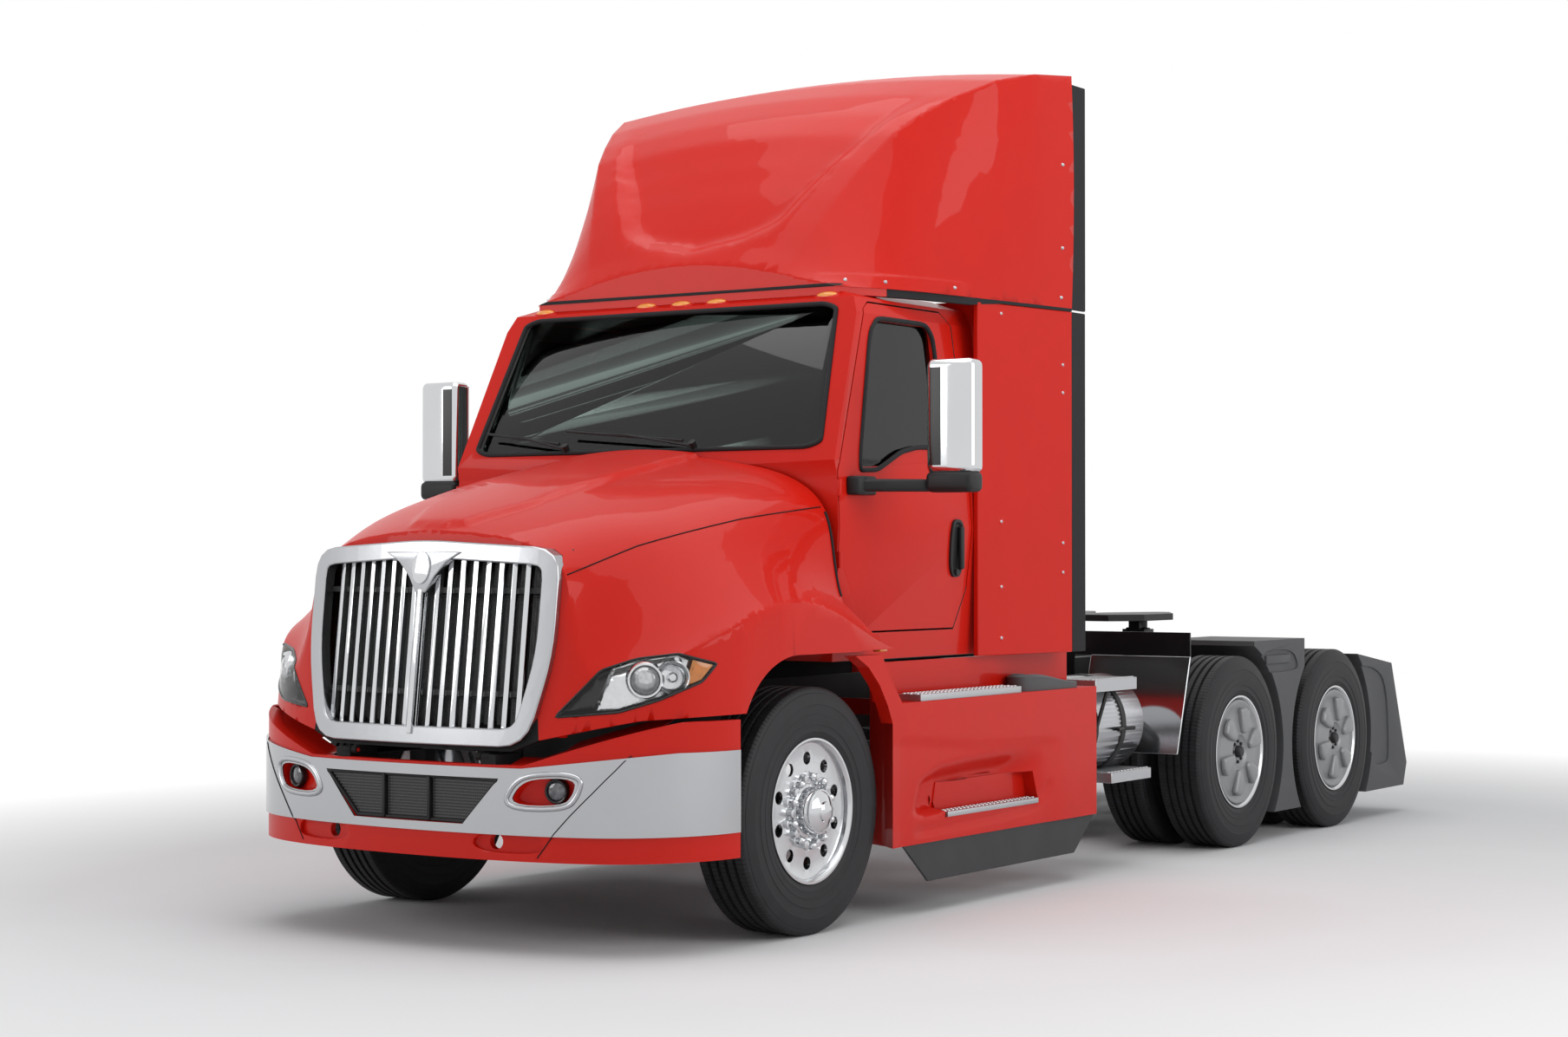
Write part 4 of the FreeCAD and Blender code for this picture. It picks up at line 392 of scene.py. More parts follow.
def smooth_path(name, points, radius, finish, body="chassis", sides=4, closed=False):
    """Round bar that follows a smooth line through the points."""
    curve = bpy.data.curves.new(name, "CURVE")
    curve.dimensions = "3D"
    line = curve.splines.new("NURBS")
    line.points.add(len(points) - 1)
    for point, place in zip(line.points, points):
        point.co = (*place, 1.0)
    line.use_endpoint_u = not closed
    line.use_cyclic_u = closed
    line.order_u = 3
    curve.bevel_depth = radius
    curve.bevel_resolution = sides
    curve.use_fill_caps = not closed
    holder = bpy.data.objects.new(name + "_line", curve)
    mesh = bpy.data.meshes.new_from_object(holder)
    shape = bmesh.new()
    shape.from_mesh(mesh)
    bpy.data.objects.remove(holder)
    bpy.data.meshes.remove(mesh)
    add_piece(name, outward(shape), finish, body)


def surface_of(*names):
    """Search tree over the triangles of some CAD nodes."""
    points, faces = [], []
    for name in names:
        mesh = nodes[name].data
        start = len(points)
        points += [v.co.copy() for v in mesh.vertices]
        faces += [[start + i for i in polygon.vertices] for polygon in mesh.polygons]
    return BVHTree.FromPolygons(points, faces)


def laid(tree, point, direction, stand_off=0.0):
    """Where a line from the point along the direction meets the surface, and the surface's direction there."""
    direction = Vector(direction).normalized()
    hit, normal, _, _ = tree.ray_cast(Vector(point), direction)
    if hit is None:
        return None, None
    if normal.dot(direction) > 0:
        normal.negate()
    return hit + normal * stand_off, normal


def cut(shape, at, facing, **cleared):
    """Cuts the shape along a plane and drops the side that is cleared."""
    bmesh.ops.bisect_plane(shape, geom=everything(shape), plane_co=at, plane_no=facing, dist=1e-5, **cleared)


def gridded(shape, axis, positions):
    """Cuts the shape along planes across the axis at the positions, so that it can be bent there."""
    facing = Vector([1.0 if index == axis else 0.0 for index in range(3)])
    for position in positions:
        cut(shape, facing * position, facing)


def bendable(node, *cuts):
    """Copy of a CAD node cut along planes; a cut is an axis and positions along it."""
    shape = merged_copy(node)
    for axis, positions in cuts:
        gridded(shape, axis, positions)
    bmesh.ops.triangulate(shape, faces=[face for face in shape.faces if len(face.verts) > 4])
    shape.normal_update()
    return shape


def sided(shape, side):
    """The shape, or its mirror image for the right-hand side."""
    if side < 0:
        bmesh.ops.scale(shape, vec=(-1.0, 1.0, 1.0), verts=shape.verts)
    return outward(shape)


def nearest_on_run(point, start, end):
    """The place on the run from start to end that is nearest to the point."""
    place, share = intersect_point_line(point, start, end)
    return start if share < 0.0 else end if share > 1.0 else place


def turns(count, shift=0.0):
    """Angles that part a full turn evenly, shifted by a share of a step."""
    return [2 * math.pi * (index + shift) / count for index in range(count)]


def steps_between(start, end, step):
    count = max(1, round((end - start) / step))
    return [start + (end - start) * index / count for index in range(count + 1)]


def eased(value):
    """Value held within 0 to 1 and eased at both ends."""
    value = min(1.0, max(0.0, value))
    return value * value * (3.0 - 2.0 * value)


def relaxed(shape, times, chosen):
    """Evens out facets: chosen vertices away from sharp edges move towards the middle of their neighbours."""
    verts = [vert for vert in shape.verts if chosen(vert.co)
             and all(edge.is_manifold and edge.calc_face_angle(0.0) < 0.35 for edge in vert.link_edges)]
    for _ in range(times):
        bmesh.ops.smooth_vert(shape, verts=verts, factor=0.5, use_axis_x=True, use_axis_y=True, use_axis_z=True)
    return shape


def thickened(points, step):
    """The points of a line with more of them between, so that a bead follows its surface."""
    result = [tuple(points[0])]
    for start, end in zip(points, points[1:]):
        pieces = max(1, round((Vector(end) - Vector(start)).length / step))
        result += [tuple(Vector(start).lerp(Vector(end), (index + 1) / pieces)) for index in range(pieces)]
    return result


def marked(shape, inner):
    """Gives the second finish to the faces that the test takes as inner ones."""
    for face in shape.faces:
        face.material_index = 1 if inner(face.calc_center_median(), face.normal) else 0
    return shape


def along(table, at):
    """Straight-line reading of a table of (place, value) pairs."""
    for (start, low), (end, high) in zip(table, table[1:]):
        if at <= end:
            return low + (high - low) * max(0.0, at - start) / (end - start)
    return table[-1][1]


def twinned(shape):
    """The shape with its mirror image across the truck's middle plane."""
    copy = bmesh.ops.duplicate(shape, geom=everything(shape))["geom"]
    bmesh.ops.scale(shape, vec=(-1.0, 1.0, 1.0), verts=only_verts(copy))
    bmesh.ops.reverse_faces(shape, faces=[item for item in copy if isinstance(item, bmesh.types.BMFace)])
    return shape


def dropped(shape, unwanted):
    """The shape less the faces that the test names; none left is an error."""
    faces = [face for face in shape.faces if unwanted(face.calc_center_median(), face.normal)]
    bmesh.ops.delete(shape, geom=faces, context="FACES")
    if not shape.faces:
        raise RuntimeError("no face is left of a copied piece")
    return shape


def ringed(shape, points, steps):
    """Raised rings inside an outline; each step is how far in and which way its face moves."""
    face = shape.faces.new([shape.verts.new(point) for point in points])
    for width, push in steps:
        bmesh.ops.inset_region(shape, faces=[face], thickness=width, use_boundary=True)
        bmesh.ops.translate(shape, vec=push, verts=face.verts[:])


def carved(shape, cutters):
    """The shape less the closed cutters."""
    holders = [placed("carving", part) for part in [shape] + [outward(cutter) for cutter in cutters]]
    for holder in holders:
        holder.data.materials.append(None)
    for cutter in holders[1:]:
        knife = holders[0].modifiers.new("cut", "BOOLEAN")
        knife.operation = "DIFFERENCE"
        knife.solver = "EXACT"
        knife.object = cutter
    evaluated = holders[0].evaluated_get(bpy.context.evaluated_depsgraph_get())
    result = bmesh.new()
    result.from_mesh(evaluated.to_mesh())
    evaluated.to_mesh_clear()
    for holder in holders:
        mesh = holder.data
        bpy.data.objects.remove(holder)
        bpy.data.meshes.remove(mesh)
    if not result.faces:
        raise RuntimeError("a carved piece came out empty")
    return result


def lathe(shape, profile, origin, axis, steps=32):
    """Form turned about an axis through the origin; the profile is (radius, along) points."""
    turn = Vector(axis).normalized().to_track_quat("Z", "Y").to_matrix().to_4x4()
    place = Matrix.Translation(Vector(origin)) @ turn
    verts = [shape.verts.new(place @ Vector((radius, 0.0, reach))) for radius, reach in profile]
    edges = [shape.edges.new(pair) for pair in zip(verts, verts[1:])]
    bmesh.ops.spin(shape, geom=verts + edges, cent=place.translation, axis=place.to_3x3() @ Vector((0.0, 0.0, 1.0)),
                   angle=2 * math.pi, steps=steps, use_merge=True)
    bmesh.ops.remove_doubles(shape, verts=shape.verts, dist=1e-5)


def prism_shape(outline, push):
    """Closed bar from an outline of 3-D points."""
    shape = bmesh.new()
    plate_shape(shape, outline, push)
    return shape


def softened(outline, share=0.25):
    """Outline with each corner cut twice, which leaves a soft bend there."""
    for _ in range(2):
        cut = []
        for index, corner in enumerate(outline):
            after = outline[(index + 1) % len(outline)]
            cut.append(tuple(a + (b - a) * share for a, b in zip(corner, after)))
            cut.append(tuple(a + (b - a) * (1.0 - share) for a, b in zip(corner, after)))
        outline = cut
    return outline


def tube_on(name, surface, points, direction, radius, finish, body="chassis", sink=0.5, closed=False, sides=3):
    """Round bead half sunk in a surface along the points, which are thrown on it along the direction."""
    found = [laid(surface, point, direction) for point in thickened(points, 0.02)]
    places = [place + normal * radius * (1.0 - 2.0 * sink) for place, normal in found if place is not None]
    if len(places) < 3:
        raise RuntimeError(name + " misses its surface")
    smooth_path(name, places, radius, finish, body, sides, closed)


def domes(shape, surface, spots, radius, height):
    """Round heads on both flanks of a surface; a spot is a setback and a height."""
    for side in (1, -1):
        for back, z in spots:
            place, normal = laid(surface, (side * 1.6, setback(back), z), (-side, 0, 0))
            if place is None:
                raise RuntimeError("a screw misses its surface")
            lathe(shape, [(0.0, height), (radius * 0.55, height * 0.85), (radius * 0.8, height * 0.4),
                          (radius, 0.0), (radius, -0.003)], place, normal, 12)


# Stage


class TRACTOR_OT_stage(bpy.types.Operator):
    """Pale floor, soft lamps, white background and the camera"""

    bl_idname = "tractor.stage"
    bl_label = "Stage and Camera"

    def execute(self, context):
        scene = context.scene
        scene.view_settings.view_transform = "Standard"
        self.floor()
        self.world(scene)
        for name, place, aim, size, power in (
            ("lamp_over", (1.0, -2.0, 9.0), (0.0, 0.0, 1.0), (9.0, 12.0), 500.0),
            ("lamp_nose", (-6.5, -12.0, 5.0), (0.0, -3.0, 1.5), (6.0, 5.0), 260.0),
            ("lamp_side", (11.0, -1.0, 4.5), (0.0, 0.0, 1.8), (8.0, 5.0), 370.0),
        ):
            lamp = bpy.data.lights.new(name, "AREA")
            lamp.shape = "RECTANGLE"
            lamp.size, lamp.size_y = size
            lamp.energy = power
            holder = bpy.data.objects.new(name, lamp)
            holder.location = place
            holder.rotation_euler = (Vector(aim) - Vector(place)).to_track_quat("-Z", "Y").to_euler()
            scene.collection.objects.link(holder)
        view = bpy.data.cameras.new("photo_view")
        view.sensor_width = 36.0
        view.lens = 61.535
        view.clip_end = 200.0
        camera = bpy.data.objects.new("photo_view", view)
        camera.location = (7.27187, -11.96908, 1.57723)
        camera.rotation_euler = (math.pi / 2 + 0.0135833, 0.0, 0.593457)
        scene.collection.objects.link(camera)
        scene.camera = camera
        return {"FINISHED"}

    def floor(self):
        """Pale near the truck, white further off."""
        shape = bmesh.new()
        bmesh.ops.create_grid(shape, x_segments=2, y_segments=2, size=60.0)
        piece = placed("floor", shape)
        finish, tree, shader = node_tree("floor")
        pale = ramp(tree, object_noise(tree, 0.8), (0.84, 0.84, 0.845), (0.86, 0.86, 0.865))
        feed(tree, shader, {"Roughness": 0.9, "Base Color": pale})
        spot = own_place(tree, {"Scale": (6.5, 9.0, 1.0)}, vector_type="TEXTURE")
        fade = wired(tree, "TexGradient", {"Vector": spot}, gradient_type="SPHERICAL").outputs["Fac"]
        near = wired(tree, "MapRange", {"Value": fade, "From Max": 0.45}).outputs["Result"]
        white = wired(tree, "Emission", {"Color": (1.0, 1.0, 1.0, 1.0)}).outputs["Emission"]
        blend(tree, near, white, shader.outputs["BSDF"], "Material Output")
        piece.data.materials.append(finish)

    def world(self, scene):
        sky = bpy.data.worlds.new("studio")
        scene.world = sky
        sky.use_nodes = True
        tree = sky.node_tree
        plain = tree.nodes["Background"]
        feed(tree, plain, {"Color": (0.80, 0.82, 0.85, 1.0), "Strength": 0.34})
        white = wired(tree, "Background", {"Color": (1.0, 1.0, 1.0, 1.0), "Strength": 1.0})
        path = wired(tree, "LightPath").outputs
        seen = maths(tree, "MAXIMUM", path["Is Camera Ray"], path["Is Transmission Ray"])
        seen = maths(tree, "MAXIMUM", seen, path["Is Glossy Ray"])
        blend(tree, seen, plain.outputs["Background"], white.outputs["Background"], "World Output")


# Under the body


class TRACTOR_OT_running_gear(bpy.types.Operator):
    """Frame, axles, springs, coupling and everything else under the body"""

    bl_idname = "tractor.running_gear"
    bl_label = "Running Gear"

    def execute(self, context):
        for node in ("frame_rails", "engine_block", "radiator", "front_axle", "fifth_wheel_mount"):
            skin(node, "frame_black", edge=0.003)
        for node in ("drive_axles", "drive_shafts", "suspension"):
            skin(node, "dark_steel", edge=0.003)
        skin("tie_rod", "dark_steel", "tie_rod")
        skin("fifth_wheel_plate", "frame_black", "coupling", edge=0.005)
        for hand, _ in hands:
            skin("knuckle_" + hand, "dark_steel", "knuckle_" + hand, edge=0.003)
        skin("exhaust_pipes", "frame_black")
        plates = bmesh.new()
        box_shape(plates, (0.416, setback(-0.45), 1.012), (0.430, setback(0.22), 1.360), 0.003)
        box_shape(plates, (0.416, setback(0.21), 1.012), (0.430, setback(1.56), 1.130), 0.003)
        add_piece("splash_plates", twinned(outward(plates)), "underbody")
        skin("tail_lamps", "red_lens", edge=0.006)
        return {"FINISHED"}


# Body and its trim, from the nose back


class TRACTOR_OT_nose(bpy.types.Operator):
    """Grille surround with its centre point, bars, dark mesh behind them and a plain oval"""

    bl_idname = "tractor.nose"
    bl_label = "Grille"

    def on_strap(self, centre, normal):
        """Faces of the two bars that run across behind the upright ones."""
        near = min(abs(centre.z - 1.025), abs(centre.z - 1.435)) < 0.0135
        return near and (abs(centre.x - round(centre.x / 0.062) * 0.062) > 0.0108 or abs(centre.x) > 0.512)

    def execute(self, context):
        skin("grille_surround", "satin", "hood", crease=25.0, edge=0.006)
        bars = marked(merged_copy("grille_bars"), self.on_strap)
        add_piece("grille_bars_rounded", bars, ("polished", "trim_black"), "hood", replaced="grille_bars",
                  crease=40.0, edge=0.007)
        surround = surface_of("grille_surround")
        crest, _ = laid(surround, (0.0, setback(-1.5), 1.600), (0, 1, 0))
        lean = 0.1167

        def front(x, z, out=0.0):
            return (x, crest.y + (z - 1.600) * lean - out, z)

        point = bmesh.new()
        outline = [(-0.2, 1.59), (0.2, 1.59), (0.125, 1.548), (0.068, 1.49), (0.026, 1.425), (-0.026, 1.425),
                   (-0.068, 1.49), (-0.125, 1.548)]
        plate_shape(point, [front(x, z, 0.003) for x, z in outline], (0.0, 0.034, 0.0), 0.006, 3)
        add_piece("grille_point", outward(point), "satin", "hood")
        oval = bmesh.new()
        outline = [front(0.046 * math.cos(turn), 1.525 + 0.066 * math.sin(turn), 0.012) for turn in turns(28)]
        plate_shape(oval, outline, (0.0, 0.012, 0.0), 0.004, 3)
        add_piece("grille_oval", outward(oval), "polished", "hood")
        spine = bmesh.new()
        box_shape(spine, front(-0.013, 0.86, 0.007), (0.013, front(0.0, 0.86)[1] + 0.02, 1.44), 0.005)
        for vert in spine.verts:
            vert.co.y += (vert.co.z - 0.86) * lean
        add_piece("grille_spine", outward(spine), "polished", "hood")
        screen = bmesh.new()
        bmesh.ops.create_grid(screen, x_segments=16, y_segments=10, size=1.0)
        for vert in screen.verts:
            z = 1.215 + vert.co.y * 0.385
            x = vert.co.x * along([(0.855, 0.550), (1.00, 0.605), (1.18, 0.630), (1.60, 0.640)], z)
            plan = along([(0.0, 0.0), (0.42, 0.030), (0.69, 0.080)], abs(x))
            vert.co = (x, setback(-1.190) + plan + (z - 0.800) * lean + 0.075, z)
        add_piece("grille_screen", screen, "grille_dark", "hood")
        return {"FINISHED"}


class TRACTOR_OT_headlamps(bpy.types.Operator):
    """Black lamp housings with projector, reflector, amber corner and clear cover"""

    bl_idname = "tractor.headlamps"
    bl_label = "Headlamps"

    outward_left = Vector((0.6225, -0.7826, 0.0))
    along_left = Vector((0.7826, 0.6225, 0.0))
    tip = Vector((0.676, -3.795, 0.941))

    def face_skin(self):
        """Outer skin of the left lamp."""
        return dropped(merged_copy("headlamps"), lambda centre, normal: centre.x < 0
                       or normal.dot(self.outward_left) < 0.35)

    def kept_from(self, shape, reach, lean):
        """The part of the skin beyond a length along the lamp, with the cut leaning outwards at the top."""
        at = self.tip + self.along_left * reach + Vector((0.0, 0.0, 0.104))
        cut(shape, at, self.along_left - Vector((0.0, 0.0, lean)), clear_inner=True)
        return shape

    def rim(self):
        """The open edge of the lamp's skin as places in order."""
        shape = self.face_skin()
        open_edges = [edge for edge in shape.edges if edge.is_boundary]
        longest = []
        while open_edges:
            edge = open_edges.pop()
            loop = [edge.verts[0], edge.verts[1]]
            while loop[-1] != loop[0]:
                following = [other for other in loop[-1].link_edges if other in open_edges]
                if not following:
                    break
                open_edges.remove(following[0])
                loop.append(following[0].other_vert(loop[-1]))
            longest = max(longest, [vert.co.copy() for vert in loop[:-1]], key=len)
        shape.free()
        if len(longest) < 8:
            raise RuntimeError("the lamp's skin has no open edge")
        return longest

    def inset(self, shape, width, push):
        faces = shape.faces[:]
        bmesh.ops.inset_region(shape, faces=faces, thickness=width, use_boundary=True, use_even_offset=True)
        bmesh.ops.translate(shape, vec=-self.outward_left * push, verts=verts_of(faces))
        return faces

    def execute(self, context):
        housing = self.face_skin()
        floor = self.inset(housing, 0.010, 0.004)
        bmesh.ops.inset_region(housing, faces=floor, thickness=0.003, use_boundary=True, use_even_offset=True)
        bmesh.ops.translate(housing, vec=-self.outward_left * 0.044, verts=verts_of(floor))
        add_piece("headlamp_housings", twinned(housing), "gloss_black", "hood", replaced="headlamps")
        bowl = self.kept_from(self.face_skin(), 0.185, 0.45)
        bmesh.ops.translate(bowl, vec=-self.outward_left * 0.020, verts=bowl.verts)
        self.inset(bowl, 0.016, 0.018)
        add_piece("headlamp_bowls", twinned(bowl), "bowl", "hood")
        amber = self.kept_from(self.face_skin(), 0.505, 0.30)
        bmesh.ops.translate(amber, vec=-self.outward_left * 0.006, verts=amber.verts)
        self.inset(amber, 0.012, -0.002)
        add_piece("headlamp_corners", twinned(amber), "amber", "hood")
        inner = bmesh.new()
        projector, reflector = Vector((0.978, setback(-0.931), 1.087)), Vector((1.058, setback(-0.858), 1.098))
        for place, steps, profile in (
            (projector, 40, [(0.078, -0.046), (0.074, -0.02), (0.068, -0.01), (0.06, -0.01), (0.056, -0.022),
                             (0.056, -0.03)]),
            (reflector, 40, [(0.064, -0.014), (0.058, -0.028), (0.044, -0.038), (0.022, -0.042), (0.0, -0.042)]),
            (reflector, 20, [(0.02, -0.04), (0.02, -0.016), (0.014, -0.01), (0.0, -0.008)]),
            (reflector, 40, [(0.068, -0.03), (0.067, -0.013), (0.064, -0.01), (0.06, -0.014)]),
        ):
            lathe(inner, profile, place, self.outward_left, steps)
        add_piece("headlamp_reflectors", twinned(outward(inner)), "bowl", "hood")
        lens = bmesh.new()
        lathe(lens, [(0.056, -0.022), (0.052, -0.012), (0.04, -0.004), (0.022, 0.001), (0.0, 0.002)], projector,
              self.outward_left, 32)
        add_piece("headlamp_lenses", twinned(outward(lens)), "lens", "hood")
        add_piece("headlamp_covers", twinned(self.face_skin()), "lamp_cover", "hood")
        for hand, side in hands:
            smooth_path("headlamp_rim_" + hand, [(side * place.x, place.y, place.z) for place in self.rim()],
                        0.0045, "gloss_black", "hood", closed=True)
        return {"FINISHED"}


class TRACTOR_OT_bumper(bpy.types.Operator):
    """Bumper core with its top, bright band, fog lamps in their pockets, low mesh, tow holes and seams"""

    bl_idname = "tractor.bumper"
    bl_label = "Bumper"

    pocket = [(0.508, 0.600), (0.543, 0.669), (0.612, 0.705), (0.787, 0.710), (0.777, 0.646), (0.733, 0.601)]

    def plan(self, x):
        """Depth of the bumper's face behind its foremost line."""
        return along([(0.0, 0.0), (0.21, 0.005), (0.42, 0.022), (0.56, 0.043), (0.69, 0.072), (0.95, 0.185)],
                    abs(x))

    def hidden(self, centre, normal):
        """Faces at the back and on the arms that carry the bumper."""
        arm = 0.33 < abs(centre.x) < 0.45 and centre.z > 0.58
        return normal.y > 0.5 or (arm and centre.y > bumper_front + 0.020 + self.plan(centre.x))

    def middle(self, edge):
        return (edge.verts[0].co + edge.verts[1].co) / 2

    def shelf(self):
        """The bumper's top carried back under the hood's lower edge."""
        shape = dropped(merged_copy("bumper"), lambda centre, normal: normal.z < 0.6 or normal.y > 0.5
                        or centre.z < 0.745 or abs(centre.x) < 0.46)
        rear = [edge for edge in shape.edges if edge.is_boundary
                and self.middle(edge).y > edge.link_faces[0].calc_center_median().y + 0.002]
        for back, rise, least in ((0.085, 0.026, 0.46), (0.085, 0.030, 0.66)):
            rear = [edge for edge in rear if least < abs(self.middle(edge).x) < 1.01]
            made = bmesh.ops.extrude_edge_only(shape, edges=rear)["geom"]
            rear = [item for item in made if isinstance(item, bmesh.types.BMEdge)
                    and all(vert in made for vert in item.verts)]
            for vert in only_verts(made):
                vert.co += Vector((0.0, back, rise))
        bmesh.ops.solidify(shape, geom=shape.faces[:], thickness=0.003)
        for vert in shape.verts:
            vert.co.z -= 0.0015
        add_piece("bumper_shelf", outward(shape), "paint")

    def cutter(self, outline, side, depth):
        points = [(side * x, bumper_front + self.plan(x) + depth, z) for x, z in softened(outline)]
        return prism_shape(points, (0.0, -0.3, 0.0))

    def execute(self, context):
        tow = [(0.325, 0.412), (0.345, 0.486), (0.600, 0.492), (0.655, 0.460), (0.640, 0.405)]
        pockets = [self.cutter(self.pocket, side, 0.044) for side in (1, -1)]
        recesses = [self.cutter(tow, side, 0.026) for side in (1, -1)]
        holes = []
        for side in (1, -1):
            holes.append(bmesh.new())
            rod_shape(holes[-1], (side * 0.430, -4.0, 0.450), (side * 0.430, -3.780, 0.450), 0.031, 24)
        core = marked(carved(merged_copy("bumper"), pockets + recesses + holes), self.hidden)
        add_piece("bumper_core", core, ("paint", "underbody"), replaced="bumper", crease=30.0, edge=0.004)
        self.shelf()
        band = carved(merged_copy("bumper_band"), [self.cutter(self.pocket, side, 0.060) for side in (1, -1)])
        add_piece("bumper_band_bright", band, "satin", replaced="bumper_band", crease=30.0, edge=0.0025)
        surface = surface_of("bumper", "bumper_band")
        grown = softened([(0.478, 0.586), (0.52, 0.678), (0.6, 0.722), (0.812, 0.726), (0.796, 0.64),
                    (0.744, 0.586)])
        for hand, side in hands:
            tube_on("lamp_pocket_rim_" + hand, surface, [(side * x, -4.2, z) for x, z in grown], (0, 1, 0), 0.011,
                    "satin", sink=0.55, closed=True, sides=4)
            tube_on("bumper_seam_" + hand, surface, [(side * x, -4.2, z) for x, z in ((0.972, 0.798), (0.93, 0.745),
                        (0.85, 0.655), (0.76, 0.56), (0.68, 0.47), (0.625, 0.395))], (0, 1, 0), 0.0022, "gap_black",
                    sink=0.3)
        fog = bmesh.new()
        face = Vector((0.24, -0.97, 0.0))
        place = Vector((0.690, bumper_front + self.plan(0.69) + 0.040, 0.656))
        lathe(fog, [(0.050, 0.0), (0.050, 0.016), (0.046, 0.022), (0.040, 0.020), (0.038, 0.012)], place, face, 32)
        add_piece("fog_lamp_housings", twinned(outward(fog)), "gloss_black", replaced="fog_lamps")
        glass = bmesh.new()
        lathe(glass, [(0.039, 0.012), (0.032, 0.017), (0.018, 0.020), (0.0, 0.021)], place, face, 32)
        add_piece("fog_lamp_lenses", twinned(outward(glass)), "lens_dark")
        screen = bmesh.new()
        opening = [(-0.459, 0.699), (0.459, 0.699), (0.289, 0.516), (-0.289, 0.516)]
        plate_shape(screen, [(x, -3.864, z) for x, z in opening], (0.0, 0.006, 0.0))
        add_piece("intake_screen", outward(screen), "mesh")
        frame_bars = bmesh.new()
        for x in (-0.141, 0.100):
            box_shape(frame_bars, (x - 0.008, -3.880, 0.516), (x + 0.008, -3.858, 0.699), 0.003)
        corners = ((-0.452, -3.868, 0.694), (0.452, -3.868, 0.694), (0.288, -3.868, 0.521), (-0.288, -3.868, 0.521))
        for start, end in ((0, 3), (1, 2), (0, 1), (3, 2)):
            rod_shape(frame_bars, corners[start], corners[end], 0.008, 10)
        add_piece("intake_frame", outward(frame_bars), "trim_black")
        return {"FINISHED"}


class TRACTOR_OT_mirrors(bpy.types.Operator):
    """Bright mirror shells on black arms, with their glass"""

    bl_idname = "tractor.mirrors"
    bl_label = "Mirrors"

    def execute(self, context):
        y, half_depth = setback(0.590), 0.063
        inlay_x, inlay_z = (1.352, 1.408), (1.962, 2.384)
        for hand, side in hands:
            shell = bmesh.new()
            box_shape(shell, (1.325, y, 1.925), (1.560, y + 0.126, 2.420), 0.032, 5)
            for vert in shell.verts:
                front = max(0.0, (y + half_depth - vert.co.y) / half_depth)
                vert.co.y += 0.018 * abs((vert.co.x - 1.4425) / 0.1175) ** 2 * front
            gridded(shell, 0, inlay_x)
            gridded(shell, 2, inlay_z)
            marked(shell, lambda centre, normal: normal.y < -0.7 and inlay_x[0] < centre.x < inlay_x[1]
                   and inlay_z[0] < centre.z < inlay_z[1])
            arm = bmesh.new()
            box_shape(arm, (1.328, y + 0.004, 1.846), (1.558, y + 0.124, 1.936), 0.026, 4)
            outline = [(1.058, setback(0.415)), (1.125, setback(0.425)), (1.2, setback(0.47)), (1.345, y + 0.03),
                       (1.345, y + 0.11), (1.18, setback(0.58)), (1.11, setback(0.555)), (1.052, setback(0.558))]
            plate_shape(arm, [(x, at, 1.850) for x, at in outline], (0.0, 0.0, 0.054), 0.016, 3)
            root = [(1.06, setback(0.388)), (1.116, setback(0.4)), (1.13, setback(0.44)), (1.128, setback(0.53)),
                    (1.1, setback(0.562)), (1.054, setback(0.562))]
            plate_shape(arm, [(x, at, 1.835) for x, at in root], (0.0, 0.0, 0.082), 0.012, 3)
            glass = bmesh.new()
            box_shape(glass, (1.342, y + 0.122, 2.060), (1.543, y + 0.1295, 2.402), 0.003)
            box_shape(glass, (1.342, y + 0.122, 1.955), (1.543, y + 0.1295, 2.045), 0.003)
            body = "door_" + hand
            add_piece(f"mirror_{hand}_shell", sided(shell, side), ("polished", "gloss_black"), body,
                      replaced="mirror_" + hand, crease=40.0)
            add_piece(f"mirror_{hand}_arm", sided(arm, side), "trim_black", body, crease=40.0)
            add_piece(f"mirror_{hand}_glass", sided(glass, side), "mirror_glass", body, crease=40.0)
        return {"FINISHED"}


